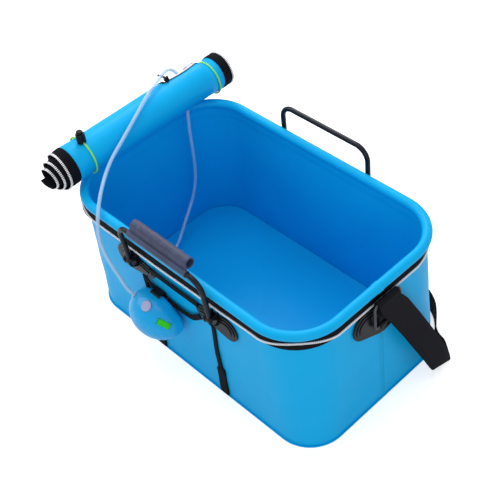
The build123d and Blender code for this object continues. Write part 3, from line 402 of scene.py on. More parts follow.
black_plastic = moulded("black_plastic", (0.006, 0.006, 0.009), 0.36, shine=0.22)
bail_paint = moulded("bail_paint", (0.005, 0.007, 0.014), 0.32, 420.0, shine=0.28)
white_plastic = moulded("white_plastic", (0.97, 0.97, 1.0), 0.32)
pump_blue = moulded("pump_blue", (0.004, 0.400, 0.840), 0.24, 500.0, 0.000015, shine=0.3)
lilac_button = moulded("lilac_button", (0.44, 0.46, 0.72), 0.5, shine=0.15)
green_switch = moulded("green_switch", (0.030, 0.64, 0.012), 0.45, shine=0.15)
soft_rubber = moulded("soft_rubber", (0.030, 0.030, 0.034), 0.60)
bright_steel = moulded("bright_steel", (0.62, 0.63, 0.66), 0.28, 300.0, 0.00001, metal=1.0)
ring_steel = moulded("ring_steel", (0.085, 0.088, 0.10), 0.34, 300.0, 0.00001, metal=1.0)
board_green = moulded("board_green", (0.020, 0.19, 0.060), 0.45)
cell_wrap = moulded("cell_wrap", (0.58, 0.10, 0.05), 0.40)
tube_grey = moulded("tube_grey", (0.50, 0.51, 0.53), 0.45)
print("moulded finishes")

# %% [markdown]
# Three finishes need patterns of their own. Leather gets a painted highlight in soft patches and
# on the high places of its pebbled grain, and the air stone has painted shade in its pores. Clear
# vinyl could bend light as glass does, but in a hose so thin that only costs time, so it is
# partly see-through instead.

# %% Leather, stone and clear vinyl
def soft_leather(name, colour, light):
    """Split leather: pebbled grain, with a painted highlight in soft patches and on the high
    places.
    """
    finish = Finish(name, {"Specular IOR Level": 0.4, "Sheen Weight": 0.1})
    pebbles = finish.cells(620.0, "SMOOTH_F1")
    cloud = finish.noise(45.0, 4.0)
    # Toward the pale colour in soft patches and on the high grain: a painted highlight.
    painted_highlight = finish.mix(cloud * 0.8 + pebbles * 0.3, colour, light)
    grain = pebbles * 0.5 + finish.noise(120.0) * 0.5
    return finish.wear(painted_highlight, 0.42 + cloud * 0.2, grain, 0.00035)


def porous_stone(name, colour):
    """Sintered grains, with painted shade in the pores between them."""
    finish = Finish(name, {"Specular IOR Level": 0.2})
    grains = finish.cells(900.0)
    # Darker away from each grain, where the bump sinks: painted shade in the pores.
    pore_shade = finish.mix(grains * 1.6, colour, tuple(value * 0.35 for value in colour))
    return finish.wear(pore_shade, 0.8 + grains * 0.2, 1.0 - grains, 0.0004)


def clear_vinyl(name, colour, alpha):
    """Clear soft plastic: it tints what is behind it and takes a soft shine."""
    finish = Finish(name, {"Specular IOR Level": 0.7, "Alpha": alpha, "Coat Weight": 0.3})
    haze = finish.noise(70.0, 2.0)
    hazy = finish.mix(haze, tuple(value * 0.92 for value in colour), colour)
    return finish.wear(hazy, 0.12 + haze * 0.1, haze, 0.00005)


# The dark colour is the leather's own; the pale one is a painted highlight.
grip_leather = soft_leather("grip_leather", (0.010, 0.012, 0.030), (0.062, 0.082, 0.190))
grey_stone = porous_stone("grey_stone", (0.20, 0.26, 0.34))
clear_hose = clear_vinyl("clear_hose", (0.46, 0.70, 0.96), 0.58)
clear_film = clear_vinyl("clear_film", (0.70, 0.72, 0.90), 0.78)
clear_line.data.materials.append(clear_hose)
print("leather, stone and clear vinyl")

# %% [markdown]
# ## Finishes on the hard pieces
#
# The hard pieces have the right shapes already, so they only change their materials. One table
# names the finish of each, which is easier to check than a rule for each.

# %% Dress the hard pieces
hard_finishes = {
    black_plastic: "front_bracket_right front_bracket_left rear_bracket_right "
    "rear_bracket_left end_bracket_right end_bracket_left cord_lock_body cord_lock_plunger "
    "hatch_slider hatch_pull pump_clip pump_head",
    bail_paint: "front_bail rear_bail",
    bright_steel: "bail_pins cord_lock_spring pump_motor pump_screws",
    ring_steel: "end_ring_right end_ring_left",
    tube_grey: "rim_core",
    pump_blue: "pump_front_shell pump_rear_shell",
    lilac_button: "pump_button",
    green_switch: "pump_switch",
    clear_hose: "pump_nozzle",
    soft_rubber: "pump_seal",
    board_green: "pump_circuit_board",
    cell_wrap: "pump_battery",
    grey_stone: "air_stone",
}
for finish, names in hard_finishes.items():
    for mesh in (nodes[name].data for name in names.split()):
        mesh.materials.clear()
        mesh.materials.append(finish)
        mesh.shade_smooth()
        mesh.set_sharp_from_angle(angle=math.radians(32))
print(sum(len(names.split()) for names in hard_finishes.values()), "hard pieces dressed")

# %% [markdown]
# The spring inside the cord lock has to shorten when its plunger is pushed. A shape key could
# do it, but the frame moves bodies, not keys. So a copy of the spring, on the tub and with a
# mesh of its own, takes its place.

# %% Spring of the cord lock
solid_spring = nodes["cord_lock_spring"]
spring = put("lock_spring", solid_spring.data.copy())
spring.matrix_world = solid_spring.matrix_world.copy()
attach(spring, "tub")
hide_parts("cord_lock_spring")
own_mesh(spring)

# %% [markdown]
# ## Building soft pieces
#
# A sheet or strap is a grid of points: rows along it, columns across it. Sculpting would be
# slower and hard to repeat. One function turns rows of points into a mesh, and stores the
# distance across and along in metres as its UV map, which is what the weave reads. Nearly every
# soft piece rides on the tub, so that is the default.


def finished(name, mesh, finish, replaced, body="tub", thick=0.0):
    """Shade, thicken, set on its body and hide the solids it stands for; thick is in mm."""
    mesh.validate()
    mesh.shade_smooth()
    mesh.set_sharp_from_angle(angle=math.radians(40))
    mesh.materials.append(finish)
    piece = put(name, mesh)
    if thick:
        solid = piece.modifiers.new("thickness", "SOLIDIFY")
        solid.thickness = abs(thick) * mm
        solid.offset = math.copysign(1.0, -thick)
        solid.use_even_offset = True
    if body:
        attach(piece, body)
    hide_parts(*replaced.split())
    return piece


def grid(name, rows, finish, replaced, body="tub", thick=0.0, ring=False, loop=False, skip=None):
    """A piece from rows of points in mm. ring closes each row, loop joins the last to the first."""
    across, along = len(rows[0]), len(rows)
    points = [Vector(point) * mm for row in rows for point in row]
    faces = []
    for i in range(along if loop else along - 1):
        for j in range(across if ring else across - 1):
            if skip and skip(i, j):
                continue
            k, m = (i + 1) % along, (j + 1) % across
            faces.append((i * across + j, i * across + m, k * across + m, k * across + j))
    mesh = bpy.data.meshes.new(name)
    mesh.from_pydata([point[:] for point in points], [], faces)
    widths, lengths = [0.0], [0.0]
    for j in range(across):
        widths.append(widths[-1] + (points[(j + 1) % across] - points[j]).length)
    middles = points[across // 2 :: across]
    for i in range(along):
        lengths.append(lengths[-1] + (middles[(i + 1) % along] - middles[i]).length)
    chart = mesh.uv_layers.new(name="Laid")
    for polygon in mesh.polygons:
        first_i, first_j = divmod(mesh.loops[polygon.loop_start].vertex_index, across)
        for corner in polygon.loop_indices:
            i, j = divmod(mesh.loops[corner].vertex_index, across)
            u = widths[j] if j or first_j == 0 else widths[across]
            v = lengths[i] if i or first_i == 0 else lengths[along]
            chart.data[corner].uv = (u, v)
    return finished(name, mesh, finish, replaced, body, thick)


print("grid ready")

# %% [markdown]
# ## The tub
#
# The wall is one welded sheet that leans a little between the base outline and the rim. It could
# be a cloth simulation, but a filled or standing tub hardly folds. So it is a lofted shell of
# matching outlines, with shallow dents from noise that fade out where other pieces sit on it.

# %% Outlines of the tub
sheet = 1.2
base_half, base_corner = (254.5, 151.5), 58.0
wall_half, wall_corner = (250.6, 153.6), 75.6
rim_half, rim_corner = (250.0, 153.0), 75.0
rim_height, rim_round = 238.7, 7.5
hem_low = 212.0
four_sides = [(1, 0), (0, 1), (-1, 0), (0, -1)]


def clouds(x, y, z):
    """Smooth noise between about -1 and 1."""
    return noise.noise(Vector((x, y, z)))


def beside(point, normal, out, height):
    """A point that stands out from an outline by a distance, at a height."""
    return Vector((*(point + normal * out), height))


def round_legs(half, corner):
    """Lengths of a rounded rectangle's sides and corners, in turn from low on the +X side."""
    quarter = math.pi / 2 * corner
    return [2 * (half[1] - corner), quarter, 2 * (half[0] - corner), quarter] * 2


def round_place(half, corner, at):
    """Point and outward normal of a rounded rectangle at a distance round it."""
    side = 0
    for leg in round_legs(half, corner)[:-1]:
        if at <= leg:
            break
        at -= leg
        side += 1
    nx, ny = four_sides[side // 2]
    tx, ty = -ny, nx
    reach, run = [size - corner for size in (half if nx else half[::-1])]
    if side % 2 == 0:
        normal, slide = Vector((nx, ny)), at - run
    else:
        angle = math.radians(90 * (side // 2)) + at / corner
        normal, slide = Vector((math.cos(angle), math.sin(angle))), run
    return Vector((nx * reach + tx * slide, ny * reach + ty * slide)) + normal * corner, normal


def outline(half, corner, steps=(30, 18, 56, 18)):
    """Rounded rectangle as (point, outward normal) pairs."""
    made, start = [], 0.0
    for leg, count in zip(round_legs(half, corner), steps * 2):
        made += [round_place(half, corner, start + leg * step / count) for step in range(count)]
        start += leg
    return made


def wall_size(height):
    """Half sizes and corner of the wall's outer face at a height."""
    share = min(max((height - sheet) / (hem_low - sheet), 0.0), 1.0)
    low_and_high = zip((*base_half, base_corner), (*wall_half, wall_corner))
    half_x, half_y, corner = (low + (high - low) * share for low, high in low_and_high)
    return (half_x, half_y), corner


def ease(value, low, high):
    """0 below low, 1 above high, smooth between."""
    t = min(max((value - low) / (high - low), 0.0), 1.0)
    return t * t * (3 - 2 * t)


def dent(x, y, height):
    """How far the wall stands out from its plain shape, in mm."""
    fade = ease(height, 6, 40) * (1 - ease(height, 105, 150))
    wave = clouds(x / 70, y / 70, height / 60)
    return fade * (1.5 * wave + 0.35 * clouds(x / 26 + 9, y / 26, height / 34))


print(len(outline(base_half, base_corner)), "places round the tub")

# %% Wall of the tub
wall_heights = [
    1.2, 2.5, 5, 9, 15, 22, 30, 40, 52, 65, 80, 95, 110, 125, 140, 155, 170, 185, 198, 206, 212,
    217, 224, 231.2,
]
wall_rows = [
    [
        beside(point, normal, dent(point.x, point.y, height), height)
        for point, normal in outline(*wall_size(height))
    ]
    for height in wall_heights
]
tub_wall = grid("wall_cloth", wall_rows, blue_sheet, "tub_wall", thick=sheet, ring=True)

# %% [markdown]
# The floor is a second sheet, welded to the wall round its edge. The weld leaves a thin flange,
# pressed flatter than the rest and curling up a little, which catches the light as a pale line.
# Extruding the wall's foot would give a sharp fold, so the floor has rows of its own: flat
# below, round over the flange, and a slightly uneven top.

# %% Floor of the tub
floor_under = 0.05
flange = [
    # out from the base outline, height
    (2.5, 0.9),
    (2.45, 1.5),
    (1.7, 1.75),
    (0.6, 1.35),
    (-1.6, 1.25),
    (-2.6, 2.0),
    (-4.4, 1.9),
    (-6.0, 1.25),
    (-20, 1.2),
    (-56, 1.2),
]
base_line = outline(base_half, base_corner)
floor_rows = [[Vector((0, 0, floor_under)) for place in base_line]]
for grow in (-56, -20, -3, 1.5, 2.3):
    floor_rows.append([beside(point, normal, grow, floor_under) for point, normal in base_line])
for grow, height in flange:
    row = []
    for point, normal in base_line:
        lift = 0.25 * clouds(point.x / 18, point.y / 18, 0) if grow > 0.5 else 0.0
        row.append(beside(point, normal, grow, height + lift))
    floor_rows.append(row)
for share in (0.8, 0.55, 0.3, 0.0):
    swell = 0.5 * (1 - share)
    floor_rows.append(
        [
            Vector((point.x * share, point.y * share, sheet + swell * noise.noise(point / 60)))
            for point in row
        ]
    )
grid("floor_cloth", floor_rows, blue_sheet, "tub_floor", ring=True)
print("floor rows", len(floor_rows))

# %% [markdown]
# ## The rim
#
# The wall's top edge is folded over a stiff tube and its tail is welded back inside. Seen from
# above it is the brightest line of the tub. It is a ribbon of sheet swept round the rim: over the
# tube, then down inside the wall. Where its ends meet, one laps over the other.

# %% Folded hem over the rim tube
def rim_section(swell):
    """(out, up) from the tube's middle: over the tube from outside, down to the tail's foot."""
    reach = rim_round + swell
    angles = [math.radians(angle) for angle in range(-84, 256, 10)]
    tail = [(-2.1, -8.6), (-2.0, -11), (-2.05, -15), (-2.0, -19), (-1.9, -23.5), (-1.7, -24.3)]
    return [(reach * math.cos(angle), reach * math.sin(angle)) for angle in angles] + tail


def rim_stations(spacing):
    """Places round the rim's line as (point, normal, distance), from the seam and back to it."""
    total = sum(round_legs(rim_half, rim_corner))
    seam_at = rim_half[1] - rim_corner + seam_place
    count = int(total / spacing)
    distances = [total * step / count for step in range(count + 1)]
    return [
        (*round_place(rim_half, rim_corner, (seam_at + distance) % total), distance)
        for distance in distances
    ]


rim_places = rim_stations(4.0)
rim_total = rim_places[-1][2]
rim_rows = []
for point, normal, distance in rim_places:
    lap = 0.75 * ease(distance, rim_total - 10, rim_total - 8)
    pucker = 0.11 * clouds(point.x / 9, point.y / 9, 3)
    row = []
    for out, up in rim_section(pucker + lap):
        wave = 0.5 * clouds(point.x / 14, point.y / 14, up / 8) if up < -10 else 0.0
        row.append(beside(point, normal, out, rim_height + up + wave))
    rim_rows.append(row)
grid("rim_hem", rim_rows, blue_sheet, "rim_sleeve")
print("rim of", round(rim_total), "mm")

# %% [markdown]
# ## The zip round the tub
#
# Half of a zip runs round under the rim: a cloth tape with moulded teeth. At the corners the
# teeth take the shortest way round, so they ride up the tape. The tape is a ribbon, and every
# tooth is a small block set along the line. An array modifier could repeat one tooth, but the
# teeth have to follow the rise at the corners.

# %% Teeth helper
tooth_corner = [(1, 0.6), (0.6, 1), (-0.6, 1), (-1, 0.6)]
tooth_turn = tooth_corner + [(-along, -out) for along, out in tooth_corner]
tooth_rise = [(-1, 0.7), (-0.7, 1.0), (0.2, 0.62), (0.55, 1.0), (1, 0.75)]


def teeth(name, spots, size, replaced):
    """Many teeth as one piece; each spot is (middle, along, out, up)."""
    long, deep, high = (value / 2 for value in size)
    rings = []
    for up, narrow in tooth_rise:
        a, b = long * narrow, deep * (0.8 + 0.2 * narrow)
        rings.append([(a * along, b * out, high * up) for along, out in tooth_turn])
    across = len(tooth_turn)
    points, faces = [], []
    for middle, along, out, up in spots:
        first = len(points)
        for ring in rings:
            points += [(middle + along * a + out * b + up * c) * mm for a, b, c in ring]
        for i in range(len(rings) - 1):
            low = first + i * across
            for j in range(across):
                m = (j + 1) % across
                faces.append((low + j, low + m, low + across + m, low + across + j))
        faces.append(tuple(first + j for j in reversed(range(across))))
        faces.append(tuple(low + across + j for j in range(across)))
    mesh = bpy.data.meshes.new(name)
    mesh.from_pydata([point[:] for point in points], [], faces)
    return finished(name, mesh, white_plastic, replaced)


print(len(tooth_turn) * len(tooth_rise), "points to a tooth")

# %% Tape and teeth under the rim
tape_top, tape_low, tape_out = 229.0, 214.0, 1.5
teeth_pitch, teeth_out, teeth_up = 2.5, 2.9, 1.6
corner_rise_front, corner_rise_rear = 11.0, 8.2
tape_swing, teeth_swing = 7.5, 5.5
flap_foot = 78.0


def corner_share(point):
    """1 at the middle of a corner, 0 on the straights."""
    over = [max(abs(at) - (half - rim_corner), 0.0) for at, half in zip(point, rim_half)]
    return math.sin(2 * math.atan2(over[1], over[0])) ** 1.5 if min(over) > 0 else 0.0


def free_corner(point):
    """1 at the near left corner, where the tape stands away from the wall."""
    return corner_share(point) if point.x < 0 and point.y < 0 else 0.0


def front_drop(point):
    """How much lower the zip hangs along the front than elsewhere."""
    if point.y > 0:
        return 0.0
    x = point.x
    return 5.0 * ease(x, -235, -205) - 2.5 * ease(x, -40, 60) - 2.5 * ease(x, 90, 160)


def on_tape(place):
    """Whether the tape runs here; it leaves out the foot of the lid."""
    return place[0].x > 0 or abs(place[0].y) > flap_foot + 0.3


tape_places = rim_stations(3.0)
start = next(i for i, place in enumerate(tape_places) if not on_tape(place))
tape_places = filter(on_tape, tape_places[start:-1] + tape_places[:start])
tape_rows = []
for point, normal, _ in tape_places:
    sag = corner_share(point)
    wave = 0.3 * clouds(point.x / 20, point.y / 20, 5)
    low = tape_low - 0.6 * sag - front_drop(point)
    away = 0.5 * sag + 0.25 * wave + tape_swing * free_corner(point)
    row = []
    for share in (0.0, 0.15, 0.4, 0.7, 1.0):
        out = tape_out + away * (1 - share)
        row.append(beside(point, normal, out, low + (tape_top - low) * share))
    tape_rows.append(row)
grid("zip_tape", tape_rows, zip_cloth, "tub_zip_tape", thick=0.8)

tub_teeth = []
for point, normal, _ in filter(on_tape, rim_stations(teeth_pitch)[:-1]):
    rise = corner_rise_front if point.y < 0 else corner_rise_rear
    height = tape_low + teeth_up + rise * corner_share(point) - front_drop(point)
    middle = beside(point, normal, teeth_out + teeth_swing * free_corner(point), height)
    along, out = Vector((-normal.y, normal.x, 0)), Vector((normal.x, normal.y, 0))
    tub_teeth.append((middle, along, out, Vector((0, 0, -1))))
teeth("zip_teeth", tub_teeth, (2.3, 2.2, 2.9), "tub_zip_teeth")
print(len(tub_teeth), "teeth on the tub")

# %% [markdown]
# A strip covers the wall's upright seam. It is welded with a comb tool, which leaves a ladder of
# short dashes from the bracket down to the floor. Bump alone would vanish from the side, so the
# strip's rows lie close together and sink in at every dash.

# %% Ladder weld
ladder_low, ladder_high = 8, 205
ladder_across = (-5.0, -4.2, -3.2, -1.6, 0, 1.6, 3.2, 4.2, 5.0)
dash_depth, strip_lift, edge_lift = 0.55, 0.6, 0.35
strip_low, strip_steps = 2.2, 170
ladder_rows = []
for step in range(strip_steps + 1):
    height = strip_low + (hem_low - strip_low) * step / strip_steps
    half_x = wall_size(height)[0][0]
    wave = max(0.0, math.sin(2 * math.pi * height / weld_pitch))
    pulse = dash_depth * wave**0.6 if ladder_low < height < ladder_high else 0.0
    row = []
    for across in ladder_across:
        edge = edge_lift if abs(across) > 4.5 else strip_lift
        pressed_in = pulse if abs(across) < dash_half else 0.0
        out = half_x + dent(half_x, seam_place + across, height) + edge - pressed_in
        row.append(Vector((out, seam_place + across, height)))
    ladder_rows.append(row)
grid("seam_strip", ladder_rows, seam_sheet, "seam_tape")
print("ladder weld", round(hem_low - strip_low), "mm long")

# %% [markdown]
# ## The rolled lid
#
# The lid is one sheet rolled up from its free edge, with a zip tape along both sides. The roll
# leans a little, so each wrap ends further along than the one over it, and the elastic ties
# squeeze a waist. A cloth simulation would not roll up so evenly. The wraps are half turns whose
# middle shifts sideways, which is how a drawn spiral is made.

# %% Spiral of the roll
roll_x, roll_z = -243.5, 278.0
roll_radius = 31.0
roll_front, roll_rear = -140.0, 161.0
tie_front, tie_rear = -110.0, 149.0
half_turns, turn_steps = 6, 36
hose_room, wrap_step, wrap_lead = 5.0, 3.0, 1.5
core_long, core_out = Vector((0.49, -0.87)), Vector((0.87, 0.49))
soft_over, flat_over, flat_share = 20.0, 30.0, 0.85
first_rest, rest_step = -10.5, 2.5
rear_shape = [
    # place along the roll, size there, how far its middle has dropped
    (132, 1.0, 0.0),
    (141, 0.965, 2.2),
    (148, 0.89, 6.3),
    (154, 0.885, 6.3),
    (162, 0.965, 3.0),
    (178, 0.945, 2.6),
]


def spiral():
    """Outer face of the rolled sheet as (sideways, up, angle, half turn), from its foot inwards."""
    made = []
    centre, radius = 0.0, roll_radius
    for turn in range(half_turns):
        first = 180 * (turn % 2) + 180
        for step in range(turn_steps + (turn == half_turns - 1)):
            angle = first - 180 * step / turn_steps
            sideways = centre + radius * math.cos(math.radians(angle))
            made.append((sideways, radius * math.sin(math.radians(angle)), angle, turn))
        tighter = wrap_step if turn else hose_room
        radius -= tighter
        centre += -tighter if turn % 2 else tighter
    return made


def rear_at(y):
    """Size and drop of the roll near its rear tie, which pulls it in and down."""
    size, drop = rear_shape[0][1:]
    for (low, _, _), (high, next_size, next_drop) in zip(rear_shape, rear_shape[1:]):
        share = ease(y, low, high)
        size += (next_size - size) * share
        drop += (next_drop - drop) * share
    return size, drop


def waist(y):
    """Size of the roll at a place along it, 1 where no tie squeezes it."""
    return rear_at(y)[0] - 0.028 * math.exp(-(((y - tie_front) / 12) ** 2))


def rolled(sideways, up, y):
    """A point of the roll in the frame, with its waists and soft dents."""
    angle = math.atan2(up, sideways)
    soft = 0.35 * clouds(math.cos(angle) * 1.3, math.sin(angle) * 1.3, y / 45)
    size = waist(y) * (1 + soft / roll_radius)
    return Vector((roll_x + sideways * size, y, roll_z + up * size - rear_at(y)[1]))


def edge_at(sideways, up, edge):
    """Where an edge of the sheet lies along the roll, for its distance from the axis."""
    return edge + wrap_lead * (math.hypot(sideways, up) - roll_radius)


def pressed(sideways, up, turn, y):
    """The winding where the front end is pressed flat: its lower half lies near its upper one."""
    spot = Vector((sideways, up))
    long, out = spot.dot(core_long), spot.dot(core_out)
    beyond = max(roll_front - y, 0.0)
    soft, inner = min(beyond / soft_over, 1.0), min(turn / 2, 1.0)
    long *= 1 + soft * (0.17 * inner - 0.09)
    out *= 1 - soft * (0.19 - 0.1 * inner)
    rest = first_rest + rest_step * turn
    if out < rest:
        out += (rest - out) * flat_share * min(beyond / flat_over, 1.0)
    return core_long * long + core_out * out


roll_line = spiral()
print(len(roll_line), "places round the roll")

# %% [markdown]
# Each place round the spiral becomes a row of points along the roll. The hatch is an opening in
# the outermost wrap. A boolean could cut it, but leaving faces out keeps the mesh clean, and the
# hatch's frame covers the stepped edge.

# %% Blue sheet of the roll
hatch_angles, hatch_span, hatch_sag = (105.0, 165.0), (68.0, 133.0), 6.0
roll_long = roll_rear - roll_front
blue_columns = 61


def near_edge(y):
    """Angle of the hatch's near edge, which sags between its two ends."""
    along = min(max((y - hatch_span[0]) / (hatch_span[1] - hatch_span[0]), 0.0), 1.0)
    return hatch_angles[0] - hatch_sag * math.sin(math.pi * along)


def in_hatch(i, j):
    """Faces of the outermost wrap left out for the hatch."""
    angle, turn = roll_line[i][2:]
    y = roll_front + (shares[j] + shares[j + 1]) / 2 * roll_long
    return turn == 0 and hatch_first <= j < hatch_last and near_edge(y) < angle <= hatch_angles[1]


shares = [j / (blue_columns - 1) for j in range(blue_columns)]
hatch_shares = [(edge - roll_front) / roll_long for edge in hatch_span]
hatch_first, hatch_last = (
    min(range(blue_columns), key=lambda j: abs(shares[j] - share)) for share in hatch_shares
)
shares[hatch_first], shares[hatch_last] = hatch_shares
blue_rows = []
for number, (sideways, up, _, _) in enumerate(roll_line):
    low, high = edge_at(sideways, up, roll_front), edge_at(sideways, up, roll_rear)
    row = []
    for share in shares:
        y = low + (high - low) * share
        row.append(rolled(*pressed(sideways, up, number / turn_steps, y), y))
    blue_rows.append(row)
lid_roll = grid("lid_roll", blue_rows, blue_sheet, "lid_sheet", thick=-sheet, skip=in_hatch)

# %% [markdown]
# Both long sides of the lid carry half a zip, and the roll shows them as rings at its ends. They
# follow the same spiral as the sheet, just outside it. The teeth are set one by one as on the
# tub, at even distances, since an array would bunch them up in the tight windings.

# %% Tapes and teeth along the lid's two sides
lid_tape, lid_tooth, lid_pitch = 15.0, (2.0, 2.0, 3.2), 2.4
tape_flare, hem_step = 0.018, 0.5
tooth_in_tape, tooth_lift = 1.5, 0.2


def side_tape(name, edge, outward, replaced):
    """Black tape along one side of the rolled lid, flaring a little past its stitching."""
    rows = []
    for number, (sideways, up, _, turn) in enumerate(roll_line):
        at = edge_at(sideways, up, edge)
        row = []
        for share in (-0.06, 0.0, 0.25, 0.48, 0.53, 0.75, 1.0, 1.17):
            y = at + outward * lid_tape * share
            flare = 1 + tape_flare * max(share, 0.0) if turn < 2 else 1.0
            flare *= 1 + (hem_step if share < 0.5 else 0.0) / math.hypot(sideways, up)
            row.append(rolled(*pressed(sideways * flare, up * flare, number / turn_steps, y), y))
        rows.append(row[::outward])
    grid(name, rows, zip_cloth, replaced, thick=-1.0)


def side_teeth(name, edge, outward, replaced):
    """Teeth along the tape's free edge, evenly spaced round the spiral."""
    spots = []
    for number, (sideways, up, _, turn) in enumerate(roll_line[:-1]):
        flare = 1 + tape_flare if turn < 2 else 1.0
        next_sideways, next_up = roll_line[number + 1][:2]
        for part in (0.0, 0.33, 0.66):
            a, b = sideways + (next_sideways - sideways) * part, up + (next_up - up) * part
            y = edge_at(a, b, edge) + outward * (lid_tape + tooth_in_tape)
            middle = rolled(*pressed(a * flare, b * flare, (number + part) / turn_steps, y), y)
            radial = Vector((a, 0, b)).normalized()
            middle += radial * tooth_lift
            if not spots or (middle - spots[-1][0]).length > lid_pitch:
                tangent = radial.cross(Vector((0, 1, 0)))
                spots.append((middle, tangent, radial, Vector((0, outward, 0))))
    teeth(name, spots, lid_tooth, replaced)


for make, kind in ((side_tape, "tape"), (side_teeth, "teeth")):
    for end, edge, outward in (("front", roll_front, -1), ("rear", roll_rear, 1)):
        make(f"lid_side_{kind}_{end}", edge, outward, f"lid_{kind}_{end}")
print("side tapes and teeth on the roll")

# %% [markdown]
# The lid's foot is the narrow end of the same sheet. It is welded to the wall, passes outside
# the rim tube and runs up into the outermost wrap. A cloth simulation could find its shape, but
# a smooth line through eight stations is quick and always the same.

# %% Foot of the lid
flap_head = 104.0
foot_line = [
    # sideways and up from the roll's middle, half width of the sheet
    ((-30.4, 0, flap_head),),
    ((-30.2, -12, flap_head - 6),),
    ((-26.5, -24, flap_head - 13),),
    ((-18.5, -36.5, flap_head - 20),),
    ((-12.2, -46, flap_foot),),
    ((-8.3, -54, flap_foot),),
    ((-7.7, -60, flap_foot),),
    ((-7.7, -64.5, flap_foot),),
]


def through(stations, steps):
    """A smooth line through given stations; each is a tuple of vectors that all flow."""
    line = []
    count = len(stations)
    for i in range(count - 1):
        four = [stations[min(max(i + k, 0), count - 1)] for k in (-1, 0, 1, 2)]
        for step in range(steps):
            t = step / steps
            weights = (
                -0.5 * t + t * t - 0.5 * t**3,
                1 - 2.5 * t * t + 1.5 * t**3,
                0.5 * t + 2 * t * t - 1.5 * t**3,
                -0.5 * t * t + 0.5 * t**3,
            )
            parts = [[Vector(part) * weight for part in way] for way, weight in zip(four, weights)]
            line.append(tuple(sum(same, Vector((0, 0, 0))) for same in zip(*parts)))
    line.append(tuple(Vector(part) for part in stations[-1]))
    return line


foot_rows = []
for ((sideways, up, half),) in through(foot_line, 5):
    row = []
    for step in range(41):
        share = step / 20 - 1
        y = half * share
        ripple = 0.5 * clouds(y / 22, up / 22, 7) * (1 - abs(share))
        out = sheet / 2 + ripple + sheet * ease(-up, 0, 24)
        row.append(Vector((roll_x + sideways - out, y, roll_z + up)))
    foot_rows.append(row)
grid("lid_foot", foot_rows, blue_sheet, "lid_sheet", thick=sheet)
print("foot of the lid", len(foot_rows), "rows")

# %% [markdown]
# ## The hatch for the hose
#
# A short zip in the rolled lid lets the hose through. Black cloth frames the opening, white
# teeth follow its near edge, which sags, and clear film fills the rear end. The frame lies on
# the roll, so its rows follow the same round a little further out.

# %% Hatch frame, teeth and film
hatch_border, near_border, film_front = 4.5, 0.55, 118.0
hatch_front, hatch_rear = hatch_span
border_angle = math.degrees(hatch_border / roll_radius)


def on_roll(angle, y, lift):
    """A point over the outermost wrap at an angle in degrees from +X."""
    turn, reach = math.radians(angle), roll_radius + lift
    return rolled(reach * math.cos(turn), reach * math.sin(turn), y)


def hatch_ring(share, lift):
    """Outline round the hatch; share 0 is the opening's edge and 1 the frame's outer edge."""
    wider, longer = border_angle * share, hatch_border * share
    low, high = hatch_angles[0] - wider, hatch_angles[1] + wider
    front, rear = hatch_front - longer, hatch_rear + longer
    rearwards = [front + (rear - front) * step / 24 for step in range(24)]
    spots = [(near_edge(y) - wider * near_border, y) for y in rearwards]
    spots += [(low + (high - low) * step / 18, rear) for step in range(18)]
    spots += [(high, rear + (front - rear) * step / 24) for step in range(24)]
    spots += [(high + (low - high) * step / 18, front) for step in range(18)]
    return [on_roll(angle, y, lift) for angle, y in spots]


frame_profile = [(0.0, -0.2), (0.0, 0.7), (0.25, 0.95), (0.75, 0.9), (1.0, 0.55), (1.0, -0.1)]
frame_rows = [hatch_ring(share, lift) for share, lift in frame_profile]
grid("hatch_frame", frame_rows, zip_cloth, "hatch_tape", ring=True)

hatch_line = []
teeth_front, teeth_count, teeth_lift, teeth_inset = hatch_front + 8, 30, 1.6, 0.22
for step in range(teeth_count):
    y = teeth_front + (hatch_rear - teeth_front) * (step + 0.5) / teeth_count
    teeth_angle = near_edge(y) - border_angle * teeth_inset
    turn = math.radians(teeth_angle)
    out = Vector((math.cos(turn), 0, math.sin(turn)))
    middle = on_roll(teeth_angle, y, teeth_lift)
    hatch_line.append((middle, Vector((0, 1, 0)), out, Vector((-out.z, 0, out.x))))
teeth("hatch_zip_teeth", hatch_line, (1.7, 1.4, 2.6), "hatch_teeth")

film_rows, film_bulge, film_depth = [], 2.6, 0.6
for step in range(13):
    row = []
    for place in range(11):
        y = film_front + (hatch_rear + 1 - film_front) * place / 10
        angle = near_edge(y) - 1 + (hatch_angles[1] - near_edge(y) + 2) * step / 12
        bulge = film_bulge * math.sin(math.pi * step / 12) * math.sin(math.pi * place / 10)
        row.append(on_roll(angle, y, bulge - film_depth))
    film_rows.append(row)
grid("hatch_film", film_rows, clear_film, "hatch_mesh", thick=0.3)
print("hatch framed,", len(hatch_line), "teeth")

# %% [markdown]
# ## Elastic ties
#
# Two loops of round elastic hold the roll, and the front one passes through the cord lock. Each
# is a tube swept over the top of the roll and closed under the tighter half turn. A torus would
# not follow that shape.

# %% Elastic ties
tie_round, tie_gap = 3.0, 0.35


def tie_loop():
    """Middle line of a tie round the roll as (sideways, up) pairs."""
    over = roll_radius + tie_round / 2 + tie_gap
    under = over - hose_room
    lean = math.acos(under / (over + hose_room))
    touch = (hose_room - under * math.cos(lean), -under * math.sin(lean))
    upper = [math.radians(angle) for angle in range(0, 180, 6)]
    first, sweep = 180 + math.degrees(lean), 180 - math.degrees(lean)
    lower = [math.radians(first + sweep * step / 26) for step in range(26)]
    spots = [(over * math.cos(angle), over * math.sin(angle)) for angle in upper]
    spots += [(-over + (touch[0] + over) * step / 3, touch[1] * step / 3) for step in range(3)]
    spots += [(hose_room + under * math.cos(angle), under * math.sin(angle)) for angle in lower]
    return spots


